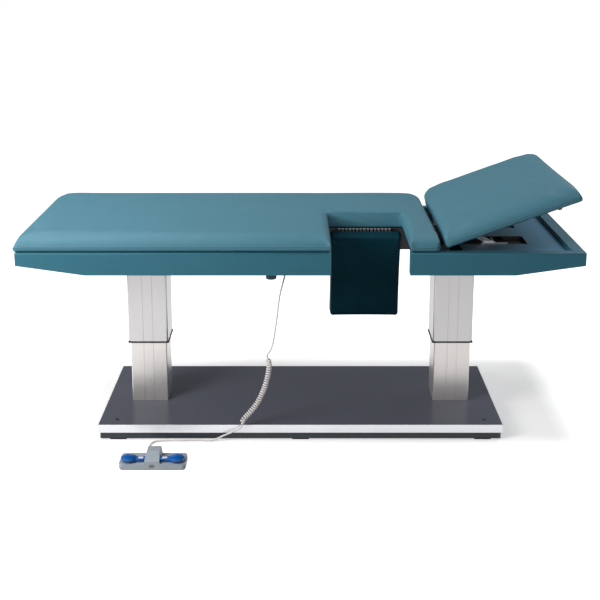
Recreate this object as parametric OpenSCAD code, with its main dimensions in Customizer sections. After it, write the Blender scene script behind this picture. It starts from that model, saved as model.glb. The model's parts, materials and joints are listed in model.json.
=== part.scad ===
// Ultrasound scanning table: a padded top with a drop-out arm window and a
// lifting backrest, on two telescopic columns and a flat base.
// X runs to the head end, Y to the far side, Z up; the origin lies on the
// floor under the middle of the base.

/* [Frame] */
// Length over the end rails
frame_len = 1930; // [1880:10:2000]
// Width over the side rails
frame_w = 744; // [730:2:780]
// Height of the tops of the rails
frame_top = 714; // [700:2:730]
// Depth of the rails along the middle
rail_h = 78; // [74:1:84]
// Depth of the rails at their tips
rail_tip_h = 44.5; // [42:0.5:50]
// Length over which each end tapers
rail_taper = 234; // [200:2:260]
// Thickness of the rails
rail_t = 40; // [36:1:44]
// Radius of the rails' padded top edges
rail_round = 5; // [2:0.5:8]

/* [Mattress] */
// Height of the mattress top above the rails
mattress_t = 58; // [52:1:64]
// How far the mattress overhangs the foot end
mattress_over = 7; // [2:1:12]
// Distance from the mattress's end to the frame's head end
head_len = 492; // [489:1:497]
// Radius of the bull-nosed edges
cushion_edge = 28; // [24:1:29]
// Radius of the mattress corners in plan
mattress_corner = 55; // [46:1:66]
// Rise of the crown over the cushion's border
crown = 5; // [2:0.5:7]
// How far the long sides draw in between the corners
draw_in = 3; // [1:0.5:4]
// Thickness of the plywood in each cushion
board_t = 16; // [12:1:18]

/* [Arm window] */
// Length of mattress between the window and the mattress's end
window_strip = 101; // [90:1:112]
// Width of the window
window_w = 269; // [266:1:280]
// Depth of the window behind the front rail's face
window_depth = 362; // [356:1:364]

/* [Drop-out flap] */
// Length of the flap from its hinge to its free edge
flap_len = 332; // [314:1:340]
// Width of the flap
flap_w = 262; // [254:1:264]
// Thickness of the flap
flap_t = 60; // [54:1:62]
// Angle past vertical at which the flap hangs
flap_hang = 11; // [10:0.5:12]
// Length of the piano hinge
hinge_len = 198; // [180:2:220]

/* [Backrest] */
// Gap between the mattress and the backrest when flat
pad_gap = 36; // [36:1:42]
// Overhang of the backrest past the head end
pad_over = 10; // [4:1:12]
// Radius of the backrest's far corners in plan
pad_corner = 60; // [40:2:70]
// Tilt at which the backrest stands at rest
rest_tilt = 20; // [14:1:26]
// Drop of the backrest pivot below the rails' tops
pivot_drop = 24; // [23:0.5:25]
// Distance of the arms and bumpers from the middle
arm_y = 250; // [235:1:265]
// Length of the prop, and of the arm that it braces
prop_len = 124.5; // [122:0.5:128]

/* [Head tray] */
// Drop of the tray floor below the rails' tops
tray_drop = 18; // [17:0.5:18.5]
// Length of the tray, to the frame's head end
tray_len = 403; // [399:1:405]
// Length of each slot in the tray
slot_len = 235; // [225:1:250]
// Width of each slot in the tray
slot_w = 116; // [108:1:118]

/* [Base] */
// How far the base reaches past the middle of each column
base_reach = 159; // [140:1:180]
// Width of the base
base_w = 586; // [560:2:600]
// Height of the base's top
base_top = 58; // [52:1:64]
// Thickness of the base board with its covering
base_board_t = 30; // [26:1:34]
// Height of the rubber feet
foot_h = 4; // [3:0.5:6]

/* [Columns] */
// Distance from each column's middle to the frame's end
column_inset = 400; // [396:1:404]
// Width of the outer profiles
outer_w = 146; // [142:1:150]
// Width of the inner profiles
inner_w = 134; // [132:0.5:134.5]
// Height at which the outer profiles end
outer_end = 294; // [288:1:300]
// Height of the inner profiles' tops
inner_top = 450; // [446:1:452]
// Wall of both profiles
profile_wall = 4; // [3.5:0.1:4.2]
// Diameter of the lead screws
screw_d = 20; // [16:1:22]

/* [Arm support] */
// Diameter of the support bar
support_d = 14; // [12:0.5:16]
// Diameter of its knob
knob_d = 37; // [32:1:38]

/* [Control box] */
// Length of the control box
box_len = 170; // [150:2:180]
// Height of the control box
box_h = 50; // [44:1:54]

/* [Cord] */
// Diameter of the foot control's cord
cord_d = 6; // [5.4:0.1:6.2]
// Outer diameter of the curls
curl_d = 20; // [18:0.5:21]
// Number of curls
curls = 31; // [28:1:33]

/* [Foot control] */
// Length of the foot control
switch_len = 226; // [220:1:240]
// Width of the foot control
switch_w = 90; // [84:1:96]
// Height of its middle housing
switch_h = 50; // [46:1:54]
// Diameter of the round pedals
pedal_d = 53; // [46:1:56]

/* [Hidden] */
$fn = 48;

// Clearances that several pieces share
over = 1;
seat_gap = 0.3;
fit = 0.05;
slide_gap = 0.2;

// Frame
end_x = frame_len / 2;
side_y = frame_w / 2;
inner_end_x = end_x - rail_t;
inner_side_y = side_y - rail_t;
rail_bottom = frame_top - rail_h;
mattress_end = end_x - head_len;
window_end = mattress_end - window_strip;
window_x = window_end - window_w;
window_mid = window_x + window_w / 2;
tray_x = end_x - tray_len;
window_back = window_depth - side_y;
cushion_bottom = frame_top + seat_gap;
pocket_draft = 1;

// Cross members
arm_w = 80;
plate_t = 8;
plate_w = 220;
beam_deck = 34;
arm_top = frame_top - beam_deck;
arm_depth = 28;
arm_wall = 4;
plate_top = arm_top - arm_depth;
outer_top = plate_top - plate_t;
column_x = end_x - column_inset;
foot_bay = window_x + column_x;
bearer_w = 40;
bearer_h = 24;
bearer_share = 0.31;
bearer_x = -column_x + bearer_share * foot_bay;
side_bar_w = 20;
side_bar_h = 12;
side_bar_gap = 5;
pivot_beam_w = 25;
pivot_beam_h = 54;

// Hinge beam and piano hinge
hinge_leaf_t = 2;
knuckle_offset = 4;
knuckle_r = 3.7;
hinge_pin_r = 1.6;
knuckle_pitch_target = 13;
knuckle_gap = 0.3;
knuckle_relief = 4.3;
leaf_fixed_h = 20;
leaf_reach = 19;
flap_end_gap = 2;
beam_face_y = window_back - hinge_leaf_t;
pin_y = beam_face_y - knuckle_offset;
pin_z = cushion_bottom - knuckle_offset;
beam_thick = 43;
beam_back_y = window_back + beam_thick;
beam_depth = 84;
beam_lip_h = 38;
beam_bottom = frame_top - beam_depth;
beam_half_low = column_x - plate_w / 2 - side_bar_gap;
beam_half_top = tray_x - knuckle_offset;
hang_s = (pin_z - beam_bottom - knuckle_offset * sin(flap_hang)) / cos(flap_hang);
beam_low_y = pin_y - knuckle_offset * cos(flap_hang) + hang_s * sin(flap_hang) + seat_gap;
knuckles = 2 * floor(hinge_len / knuckle_pitch_target / 2) + 1;
knuckle_pitch = hinge_len / knuckles;

// Flap
flap_shift = 1;
flap_x = window_mid - flap_w / 2 + flap_shift;
flap_edge = 11;
flap_board_t = 10;
flap_crown = 4;
flap_back_y = pin_y - flap_end_gap;
flap_front_y = flap_back_y - flap_len;

// Arm support bar under the raised flap
support_z = frame_top - support_d / 2;
support_inset = 12;
support_y = -inner_side_y + support_inset;
support_end_gap = 20;
support_x0 = bearer_x + bearer_w / 2 + support_end_gap;
support_window_gap = 8;
support_x1 = window_x - support_window_gap;
guide_w = 24;
guide_len = 20;
near_guide_len = 40;
guide_wall = 4;
guide_share = 0.4;
guide_x = [window_x - guide_share * foot_bay, window_x - side_bar_gap - near_guide_len];
stem_share = 0.305;
stem_x = window_x - stem_share * foot_bay;
stem_d = 10;
knob_h = 24;
knob_gap = 2;
knob_top = rail_bottom - knob_gap;
knob_round = 4;

// Backrest in its flat pose
pivot_inset = 7;
pivot_x = mattress_end - pivot_inset;
pivot_z = frame_top - pivot_drop;
pad_x = mattress_end + pad_gap;
pad_end = end_x + pad_over;
pad_inset = 2;
pad_side = side_y - pad_inset;
board_inset = cushion_edge + pocket_draft + draw_in + seat_gap;
board_corner = 12;
arm_t = 8;
arm_play = 2;
eye_r = 14;
pivot_pin_r = 6;
pin_head = 2;
arm_bar = 14;
neck_half = 8;
neck_run = 50;
neck_end = tray_x - pivot_x;
arm_reach = 414;
bumper_r = 7;
bumper_y = 300;
bumper_inset = 11;
bumper_x = inner_end_x - bumper_inset;
bumper_len = tray_drop;

// Prop
lug_drop = 14;
prop_rise = pivot_drop - lug_drop;
prop_lean = asin(prop_rise / prop_len);
prop_angle = rest_tilt + prop_lean;
prop_half = 8;
prop_t = 6;
prop_y = 158;
prop_lug_t = 7;
prop_lug_gap = 2;
prop_lug_r = 10;
prop_pin_r = 5;
prop_rod_r = 3.6;
prop_pin_x = pivot_x + prop_len * cos(prop_lean);
prop_foot_x = pivot_x + 2 * prop_len * cos(prop_angle);
track_t = 2;
track_h = 18;
track_w = 10;
track_gap = 3;
track_y = prop_y + prop_t + track_gap;
track_start = 174;
track_len = 95;
track_x0 = pivot_x + track_start;
track_x1 = track_x0 + track_len;
shoe_len = 20;

// Head tray
tray_t = 2;
tray_top = frame_top - tray_drop;
tray_flange = tray_top - arm_top;
slot_inset = 10;
slot_x = tray_x + slot_inset;
lip_t = 1;
slot_y1 = track_y + track_w + lip_t;
slot_y0 = slot_y1 - slot_w;

// Base
base_len = 2 * (column_x + base_reach);
laminate_t = 1.2;
band_t = 1.5;
board_bottom = base_top - base_board_t;
plinth_inset = 6;
plinth_t = 18;
foot_len = 60;
foot_margin = 70;
centre_foot_r = 30;
screw_inset_x = 61;
screw_inset_y = 46.6;
screw_head_r = 8;
screw_head_h = 2;
screw_slot_w = 2;

// Columns and lift drive
groove_y = 18;
groove_w = 3;
groove_d = 1.5;
outer_groove_w = 1.5;
outer_groove_d = 1;
profile_chamfer = 12;
outer_round = 6;
ring_h = 5;
ring_out = 3;
ring_play = 0.4;
glide_w = 80;
glide_h = 40;
glide_lift = 4;
glide_drop = 5;
foot_plate_t = 8;
foot_plate_play = 0.4;
nut_r = 25;
nut_h = 28;
nut_z = 380;
nut_bore_wall = 11;
screw_bottom = 260;
journal_r = 8;
journal_h = 18;
motor_r = 50;
motor_h = 34;
motor_flange_h = 8;
motor_flange_r = 58;
bolt_r = 5;
bolt_head_r = 9;
bolt_head_h = 6;
bolt_x = 26;
bolt_y = 95;

// Control box
box_share = 0.493;
box_slack = window_x - bearer_x - bearer_w / 2 - box_len;
box_x1 = window_x - box_share * box_slack;
box_front_gap = 44;
box_y0 = -inner_side_y + box_front_gap;
box_drop = 9;
box_round = 8;
box_groove = 1;
box_groove_h = 12;
inlet_w = 48;
inlet_h = 28;
inlet_t = 3;
inlet_depth = 14;
inlet_wall = 4;
inlet_pin_pitch = 12;
inlet_pin_w = 2.5;
gland_r = 9;
gland_tip_r = 5;
gland_h = 25;

// Cord's route; its curly stretch lies between the two straight ones
cord_r = cord_d / 2;
upper_step = 12;
lower_step = 13;
cord_sides = 8;
curl_sides = 6;
curl_rings = 8;
upper_route = [
  [-55, -275, 630], [-55, -275, 622], [-56, -276, 602], [-72, -290, 540], [-84, -300, 450],
  [-98, -305, 365], [-116, -306, 328], [-117, -306, 322]
];
curl_route = [
  [-117, -306, 322], [-111, -306, 296], [-112, -306, 266], [-127, -306, 205], [-153, -306, 147],
  [-183, -306, 107], [-203, -306, 84], [-208, -306, 62]
];
lower_route = [
  [-208, -306, 62], [-211, -306, 55], [-225, -306, 45], [-269, -306, 25], [-315, -305, 5],
  [-365, -303, 4], [-416, -304, 4], [-486, -306, 4], [-522, -318, 4], [-532, -350, 4],
  [-524, -394, 5], [-518, -418, 14], [-518, -427, 18], [-518, -433, 18]
];

// Foot control
switch_x = -501;
switch_y = -490;
mat_h = 3;
mat_inset = 2;
shell_top = 22;
shell_round = 14;
hump_w = 54;
hump_draft = 5;
hump_front_z = 32;
recess_w = 18;
recess_h = 12;
recess_z = 8;
recess_d = 3;
pedal_reach = 81;
pedal_y = -19;
pedal_z = 29;
pedal_h = 15;
pedal_dome = 7;
pedal_arm_w = 24;
pedal_arm_h = 9;
pedal_arm_drop = 3;
pedal_eye_r = 5;
pedal_pin_r = 2.5;
pedal_pin_x = 18;
pedal_play = 1;
stop_r = 12;
stop_gap = 4;
switch_gland_r = 6;
switch_gland_len = 12;

// Basic shapes
module box(x, y, z)
  translate([x[0], y[0], z[0]]) cube([x[1] - x[0], y[1] - y[0], z[1] - z[0]]);

module round_rect(x, y, r) {
  translate([x[0] + r, y[0]]) square([x[1] - x[0] - 2 * r, y[1] - y[0]]);
  translate([x[0], y[0] + r]) square([x[1] - x[0], y[1] - y[0] - 2 * r]);
  for (cx = [x[0] + r, x[1] - r], cy = [y[0] + r, y[1] - r])
    translate([cx, cy]) circle(r);
}

module round_box(x, y, z, r)
  translate([0, 0, z[0]]) linear_extrude(z[1] - z[0]) round_rect(x, y, r);

// Extrudes an X-Z outline from y0 to y1, or a Y-Z outline from x0 to x1
module along_y(y0, y1)
  translate([0, y1, 0]) rotate([90, 0, 0]) linear_extrude(y1 - y0) children();

module along_x(x0, x1)
  translate([x0, 0, 0]) rotate([90, 0, 90]) linear_extrude(x1 - x0) children();

module both_sides() {
  children();
  mirror([0, 1, 0]) children();
}

module both_columns()
  for (x = [-column_x, column_x]) translate([x, 0, 0]) children();

// Cushions: a grid of rings that fall to a shared border at mid height
function span(a, b, n) = [for (i = [1 : n]) a + (b - a) * i / (n + 1)];
function rise(a, r) = [for (t = [0, 30, 60, 90]) a + r * (1 - cos(t))];
function fall(b, r) = [for (t = [90, 60, 30, 0]) b - r * (1 - cos(t))];
function edge(d, r) = let (t = min(max(d / r, 0), 1)) sqrt(1 - (1 - t) * (1 - t));
function foot(d, r) = let (t = min(max(d / r, 0), 1)) pow(1 - pow(1 - t, 4), 1 / 4);
function corner_pull(p, c, r) =
  let (u = (c[0] - p[0]) / r, v = (c[1] - p[1]) / r)
  [c[0] - r * u * sqrt(1 - v * v / 2), c[1] - r * v * sqrt(1 - u * u / 2)];

// x, y, z: extents; edge_r: bull-nose; corner: plan radii at both X ends;
// cut: [x0, x1, y] of a window open to the front, or none
module cushion(x, y, z, edge_r, corner, lift, pull, pocket, cells, cut = []) {
  has_cut = len(cut) > 0;
  deck = edge_r + pocket_draft;
  xs = has_cut
    ? concat(rise(x[0], edge_r), [x[0] + deck], span(x[0] + deck, cut[0] - deck, cells[0]),
        [cut[0] - deck], fall(cut[0], edge_r), span(cut[0], cut[1], 1), rise(cut[1], edge_r),
        [cut[1] + deck], [x[1] - deck], fall(x[1], edge_r))
    : concat(rise(x[0], edge_r), [x[0] + deck], span(x[0] + deck, x[1] - deck, cells[0]),
        [x[1] - deck], fall(x[1], edge_r));
  ys = has_cut
    ? concat(rise(y[0], edge_r), [y[0] + deck], span(y[0] + deck, cut[2], cells[1]),
        rise(cut[2], edge_r), [cut[2] + deck], span(cut[2] + deck, y[1] - deck, cells[1]),
        [y[1] - deck], fall(y[1], edge_r))
    : concat(rise(y[0], edge_r), [y[0] + deck], span(y[0] + deck, y[1] - deck, cells[1]),
        [y[1] - deck], fall(y[1], edge_r));
  nx = len(xs);
  ny = len(ys);
  tiny = pocket_draft / 100;
  mid = [(x[0] + x[1]) / 2, (y[0] + y[1]) / 2, (z[0] + z[1] - lift) / 2];
  half = [(x[1] - x[0]) / 2, (y[1] - y[0]) / 2, (z[1] - z[0] - lift) / 2];
  function cut_reach(px, py) = has_cut
    ? norm([max(cut[0] - px, px - cut[1], 0), max(py - cut[2], 0)]) : 2 * half[0];
  function rim(i, j) = i == 0 || j == 0 || i == nx - 1 || j == ny - 1
    || (has_cut && cut_reach(xs[i], ys[j]) < tiny);
  function lost(i, j) = has_cut && xs[i] > cut[0] - tiny && xs[i + 1] < cut[1] + tiny
    && ys[j + 1] < cut[2] + tiny;
  function top_share(px, py) = edge(px - x[0], edge_r) * edge(x[1] - px, edge_r)
    * edge(py - y[0], edge_r) * edge(y[1] - py, edge_r) * edge(cut_reach(px, py), edge_r);
  function foot_share(px, py) = foot(px - x[0], edge_r) * foot(x[1] - px, edge_r)
    * foot(py - y[0], edge_r) * foot(y[1] - py, edge_r) * foot(cut_reach(px, py), edge_r);
  function bow(t, m, h) = 1 - pow((t - m) / h, 2);
  function in_pocket(px, py) = px > x[0] + deck - tiny && px < x[1] - deck + tiny
    && py > y[0] + deck - tiny && py < y[1] - deck + tiny
    && !(has_cut && px > cut[0] - deck + tiny && px < cut[1] + deck - tiny
      && py < cut[2] + deck - tiny);
  function pulled(px, py) =
    let (r = px < mid[0] ? corner[0] : corner[1],
      sx = px < mid[0] ? 1 : -1,
      sy = py < mid[1] ? 1 : -1,
      c = [(px < mid[0] ? x[0] + r : x[1] - r) * sx, (py < mid[1] ? y[0] + r : y[1] - r) * sy],
      p = [px * sx, py * sy],
      q = p[0] < c[0] && p[1] < c[1] ? corner_pull(p, c, r) : p)
    [q[0] * sx, q[1] * sy];
  function drawn(p) = [
    p[0] - (has_cut ? 0 : pull * (p[0] - mid[0]) / half[0] * bow(p[1], mid[1], half[1])),
    p[1] - pull * (p[1] - mid[1]) / half[1] * bow(p[0], mid[0], half[0])
  ];
  function high(px, py) = mid[2] + half[2] * top_share(px, py)
    + lift * top_share(px, py) * bow(px, mid[0], half[0]) * bow(py, mid[1], half[1]);
  function low(px, py) = in_pocket(px, py) ? z[0] + pocket : mid[2] - half[2] * foot_share(px, py);
  flat_points = [for (i = [0 : nx - 1], j = [0 : ny - 1]) drawn(pulled(xs[i], ys[j]))];
  tops = [for (i = [0 : nx - 1], j = [0 : ny - 1])
    concat(flat_points[i * ny + j], [high(xs[i], ys[j])])];
  bottoms = [for (i = [0 : nx - 1], j = [0 : ny - 1])
    concat(flat_points[i * ny + j], [low(xs[i], ys[j])])];
  function top_at(i, j) = i * ny + j;
  function low_at(i, j) = rim(i, j) ? top_at(i, j) : nx * ny + i * ny + j;
  function crossed(i, j) = !rim(i + 1, j) && rim(i, j) && rim(i, j + 1) && rim(i + 1, j + 1)
    || !rim(i, j + 1) && rim(i, j) && rim(i + 1, j) && rim(i + 1, j + 1);
  faces = [for (i = [0 : nx - 2], j = [0 : ny - 2]) if (!lost(i, j))
    let (t = [top_at(i, j), top_at(i + 1, j), top_at(i + 1, j + 1), top_at(i, j + 1)],
      b = [low_at(i, j), low_at(i + 1, j), low_at(i + 1, j + 1), low_at(i, j + 1)])
    each (crossed(i, j)
      ? [[t[0], t[3], t[1]], [t[1], t[3], t[2]], [b[0], b[1], b[3]], [b[1], b[2], b[3]]]
      : [[t[0], t[2], t[1]], [t[0], t[3], t[2]], [b[0], b[1], b[2]], [b[0], b[2], b[3]]])];
  polyhedron(concat(tops, bottoms), faces, convexity = 6);
}

// Cords: rings swept along a smooth line through a route's points
function unit(v) = v / norm(v);
function at(p, i) = p[min(max(i, 0), len(p) - 1)];
function smooth_at(p, i, t) =
  let (a = i == 0 ? 2 * p[0] - p[1] : p[i - 1], b = p[i], c = p[i + 1],
    d = i + 2 > len(p) - 1 ? 2 * p[i + 1] - p[i] : p[i + 2],
    m = (c - a) / 2, n = (d - b) / 2)
  (2 * t * t * t - 3 * t * t + 1) * b + (t * t * t - 2 * t * t + t) * m
    + (3 * t * t - 2 * t * t * t) * c + (t * t * t - t * t) * n;
function smooth_route(p, step) = concat([for (i = [0 : len(p) - 2])
  let (n = max(1, round(norm(p[i + 1] - p[i]) / step)))
  each [for (k = [0 : n - 1]) smooth_at(p, i, k / n)]], [p[len(p) - 1]]);
function tangent(p, i) = unit(at(p, i + 1) - at(p, i - 1));
function turned(n, t) = unit(n - (n * t) * t);
function frames(p, start, end_dir) = [for (i = 0, t = start, n = turned([0, 1, 0.1], start);
  i < len(p);
  i = i + 1,
  t = i < len(p) - 1 ? tangent(p, i) : end_dir,
  n = turned(n, t)) [t, n]];
function route_len(p, i = 0) = i >= len(p) - 1 ? 0 : norm(p[i + 1] - p[i]) + route_len(p, i + 1);

module tube(p, r, sides, start, end_dir) {
  f = frames(p, start, end_dir);
  rings = [for (i = [0 : len(p) - 1])
    let (t = f[i][0], n = f[i][1], b = cross(t, n))
    each [for (k = [0 : sides - 1]) p[i] + r * (cos(360 * k / sides) * n + sin(360 * k / sides) * b)]];
  last = (len(p) - 1) * sides;
  walls = [for (i = [0 : len(p) - 2], k = [0 : sides - 1])
    let (a = i * sides + k, b = i * sides + (k + 1) % sides)
    each [[a, b + sides, b], [a, a + sides, b + sides]]];
  caps = [for (k = [1 : sides - 2]) each [[0, k, k + 1], [last, last + k + 1, last + k]]];
  polyhedron(rings, concat(walls, caps), convexity = 10);
}

// Curls: a helix round the curly stretch's middle line, drawn to it at both ends
function walk(p, s, i = 0) =
  let (d = norm(p[i + 1] - p[i]))
  s <= d || i >= len(p) - 2 ? [p[i] + (p[i + 1] - p[i]) * s / d, i] : walk(p, s - d, i + 1);
function curl_points(p) =
  let (total = route_len(p), n = curls * curl_rings, lead = cord_d, run = total - 2 * lead,
    f = frames(p, unit(p[1] - p[0]), unit(p[len(p) - 1] - p[len(p) - 2])))
  concat([p[0]],
    [for (k = [0 : n])
      let (w = walk(p, lead + run * k / n), t = f[w[1]][0], m = f[w[1]][1], b = cross(t, m),
        grow = min(k, n - k, curl_rings) / curl_rings,
        a = 360 * k / curl_rings)
      w[0] + (curl_d - cord_d) / 2 * grow * (cos(a) * m + sin(a) * b)],
    [p[len(p) - 1]]);
curl_line = smooth_route(curl_route, cord_d / 2);
curl_path = curl_points(curl_line);
curl_self_gap = min([for (i = [0 : len(curl_path) - 1 - curl_rings], j = [i + curl_rings - 2 : i + curl_rings])
  norm(curl_path[i] - curl_path[j])]) - cord_d;
echo(curl_self_gap = curl_self_gap);
echo(upper_length = route_len(smooth_route(upper_route, cord_d)),
  curl_length = route_len(curl_path), lower_length = route_len(smooth_route(lower_route, cord_d)));

// Base
module base_board() color([0.30, 0.30, 0.32])
  box([-base_len / 2 + band_t, base_len / 2 - band_t], [-base_w / 2 + band_t, base_w / 2 - band_t],
    [board_bottom, base_top - laminate_t]);

module base_laminate() color([0.31, 0.32, 0.36])
  box([-base_len / 2 + band_t, base_len / 2 - band_t], [-base_w / 2 + band_t, base_w / 2 - band_t],
    [base_top - laminate_t, base_top]);

module base_edge_band() color([0.87, 0.89, 0.93]) {
  z = [board_bottom, base_top];
  for (s = [-1, 1]) {
    translate([0, s * (base_w - band_t) / 2, 0])
      box([-base_len / 2, base_len / 2], [-band_t / 2, band_t / 2], z);
    translate([s * (base_len - band_t) / 2, 0, 0])
      box([-band_t / 2, band_t / 2],
        [-base_w / 2 + band_t + slide_gap, base_w / 2 - band_t - slide_gap], z);
  }
}

module base_plinth() color([0.14, 0.19, 0.21]) {
  z = [foot_h, board_bottom];
  px = base_len / 2 - plinth_inset;
  py = base_w / 2 - plinth_inset;
  for (s = [-1, 1]) {
    translate([0, s * (py - plinth_t / 2), 0]) box([-px, px], [-plinth_t / 2, plinth_t / 2], z);
    translate([s * (px - plinth_t / 2), 0, 0])
      box([-plinth_t / 2, plinth_t / 2],
        [-py + plinth_t + slide_gap, py - plinth_t - slide_gap], z);
  }
}

module rubber_feet() color([0.10, 0.10, 0.10]) {
  cylinder(board_bottom, r = centre_foot_r);
  for (x = [foot_margin - base_len / 2, 0, base_len / 2 - foot_margin], s = [-1, 1])
    translate([x, s * (base_w / 2 - plinth_inset - plinth_t / 2), 0])
      round_box([-foot_len / 2, foot_len / 2], [-plinth_t / 2, plinth_t / 2], [0, foot_h], foot_h);
}

module base_screws() color([0.25, 0.25, 0.27])
  for (sx = [-1, 1], sy = [-1, 1])
    translate([sx * (base_len / 2 - screw_inset_x), sy * (base_w / 2 - screw_inset_y), base_top])
      difference() {
        cylinder(screw_head_h, r1 = screw_head_r, r2 = screw_head_r - screw_head_h);
        for (a = [0, 90]) rotate([0, 0, a])
          box([-screw_head_r / 2, screw_head_r / 2], [-screw_slot_w / 2, screw_slot_w / 2],
            [screw_head_h / 2, screw_head_h + over]);
      }

// Columns
module inner_profile() {
  h = inner_w / 2;
  c = profile_chamfer / 4;
  difference() {
    polygon([[-h + c, -h], [h - c, -h], [h, -h + c], [h, h - c], [h - c, h], [-h + c, h],
      [-h, h - c], [-h, -h + c]]);
    square(inner_w - 2 * profile_wall, center = true);
    for (a = [0 : 90 : 270], y = [-groove_y, groove_y]) rotate(a)
      translate([h - groove_d, y - groove_w / 2]) square([groove_d + over, groove_w]);
  }
}

module inner_column() color([0.82, 0.82, 0.83])
  translate([0, 0, base_top]) linear_extrude(inner_top - base_top) inner_profile();

module outer_column() color([0.85, 0.85, 0.86])
  translate([0, 0, outer_end]) linear_extrude(outer_top - outer_end) difference() {
    round_rect([-outer_w / 2, outer_w / 2], [-outer_w / 2, outer_w / 2], outer_round);
    square(outer_w - 2 * profile_wall, center = true);
    for (a = [0 : 90 : 270], y = [-groove_y, groove_y]) rotate(a)
      translate([outer_w / 2 - outer_groove_d, y - outer_groove_w / 2])
        square([outer_groove_d + over, outer_groove_w]);
  }

module column_left_inner() translate([-column_x, 0, 0]) inner_column();
module column_right_inner() translate([column_x, 0, 0]) inner_column();
module column_left_outer() translate([-column_x, 0, 0]) outer_column();
module column_right_outer() translate([column_x, 0, 0]) outer_column();

module wiper_rings() color([0.08, 0.08, 0.09])
  both_columns() translate([0, 0, outer_end - ring_h]) linear_extrude(ring_h) difference() {
    w = outer_w / 2 + ring_out;
    round_rect([-w, w], [-w, w], outer_round);
    square(inner_w + 2 * ring_play, center = true);
  }

// Glides: t is the gap between the profiles less the sliding play
module glide_set(inner_face) {
  t = (outer_w - inner_w) / 2 - profile_wall - slide_gap;
  for (a = [0 : 90 : 270]) rotate([0, 0, a])
    box([inner_face, inner_face + t], [-glide_w / 2, glide_w / 2], [0, glide_h]);
}

module lower_glides() color([0.92, 0.92, 0.88])
  both_columns() translate([0, 0, outer_end + glide_lift]) glide_set(inner_w / 2 + slide_gap);

module upper_glides() color([0.92, 0.92, 0.88])
  both_columns() translate([0, 0, inner_top - glide_drop - glide_h]) glide_set(inner_w / 2);

module nut_tubes() color([0.45, 0.46, 0.48]) {
  h = inner_w / 2 - profile_wall - foot_plate_play;
  both_columns() {
    box([-h, h], [-h, h], [base_top, base_top + foot_plate_t]);
    tube_h = nut_z - base_top - foot_plate_t;
    translate([0, 0, base_top + foot_plate_t]) difference() {
      cylinder(tube_h, r = nut_r);
      translate([0, 0, -over]) cylinder(tube_h + 2 * over, r = nut_r - nut_bore_wall);
    }
  }
}

module lead_nuts() color([0.76, 0.62, 0.32])
  both_columns() translate([0, 0, nut_z]) difference() {
    cylinder(nut_h, r = nut_r);
    translate([0, 0, -over]) cylinder(nut_h + 2 * over, d = screw_d + 2 * fit);
  }

module lead_screw() color([0.70, 0.70, 0.72]) {
  top = outer_top - motor_h - seat_gap;
  translate([0, 0, screw_bottom]) cylinder(top - screw_bottom, d = screw_d);
  translate([0, 0, top]) cylinder(journal_h, r = journal_r);
}
module lead_screw_left() translate([-column_x, 0, 0]) lead_screw();
module lead_screw_right() translate([column_x, 0, 0]) lead_screw();

module gear_motors() color([0.20, 0.21, 0.22])
  both_columns() translate([0, 0, outer_top - motor_h]) difference() {
    union() {
      cylinder(motor_h, r = motor_r);
      translate([0, 0, motor_h - motor_flange_h]) cylinder(motor_flange_h, r = motor_flange_r);
    }
    translate([0, 0, -over]) cylinder(journal_h + 2 * over, r = journal_r + fit);
  }

module bolt_places()
  both_columns() for (x = [-bolt_x, bolt_x], y = [-bolt_y, bolt_y]) translate([x, y, 0]) children();

module bolt_holes()
  bolt_places() translate([0, 0, outer_top - over])
    cylinder(plate_t + arm_wall + 2 * over, r = bolt_r + fit);

module head_plates() color([0.22, 0.23, 0.25]) difference() {
  both_columns() box([-plate_w / 2, plate_w / 2], [-plate_w / 2, plate_w / 2], [outer_top, plate_top]);
  bolt_holes();
}

module column_bolts() color([0.75, 0.75, 0.77])
  bolt_places() {
    translate([0, 0, outer_top - bolt_head_h]) cylinder(bolt_head_h, r = bolt_head_r, $fn = 6);
    translate([0, 0, outer_top])
      cylinder(plate_t + arm_wall + bolt_head_h, r = bolt_r);
    translate([0, 0, plate_top + arm_wall]) cylinder(bolt_head_h, r = bolt_head_r, $fn = 6);
  }

module cross_arms() color([0.16, 0.17, 0.19]) difference() {
  both_columns() difference() {
    box([-arm_w / 2, arm_w / 2], [-inner_side_y, inner_side_y], [plate_top, arm_top]);
    box([-arm_w / 2 + arm_wall, arm_w / 2 - arm_wall], [-inner_side_y - over, inner_side_y + over],
      [plate_top + arm_wall, arm_top + over]);
  }
  bolt_holes();
}

// Frame
module hinge_beam() color([0.09, 0.10, 0.12]) {
  box([-beam_half_low, beam_half_low], [beam_low_y, beam_back_y], [beam_bottom, frame_top]);
  box([-beam_half_top, beam_half_top], [beam_face_y, beam_back_y], [arm_top, frame_top]);
  box([-beam_half_low, beam_half_low], [beam_face_y, beam_low_y], [frame_top - beam_lip_h, frame_top]);
}

// A member across the frame, split round the hinge beam
module cross_member(x, z) {
  box(x, [-inner_side_y, beam_face_y], z);
  box(x, [beam_back_y, inner_side_y], z);
}

module bearers() color([0.16, 0.17, 0.19]) {
  cross_member([-column_x - arm_w / 2, -column_x + arm_w / 2], [arm_top, frame_top]);
  cross_member([bearer_x - bearer_w / 2, bearer_x + bearer_w / 2], [frame_top - bearer_h, frame_top]);
  side_z = [frame_top - side_bar_h, frame_top];
  box([window_x - side_bar_gap - side_bar_w, window_x - side_bar_gap],
    [-inner_side_y + guide_w, beam_face_y], side_z);
  box([window_end + side_bar_gap, window_end + side_bar_gap + side_bar_w],
    [-inner_side_y, beam_face_y], side_z);
  pivot_side = pivot_x - eye_r - arm_play;
  cross_member([pivot_side - pivot_beam_w, pivot_side], [frame_top - pivot_beam_h, frame_top]);
}

module frame_side()
  polygon([[-end_x, frame_top], [end_x, frame_top], [end_x, frame_top - rail_tip_h],
    [end_x - rail_taper, rail_bottom], [-end_x + rail_taper, rail_bottom],
    [-end_x, frame_top - rail_tip_h]]);

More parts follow.
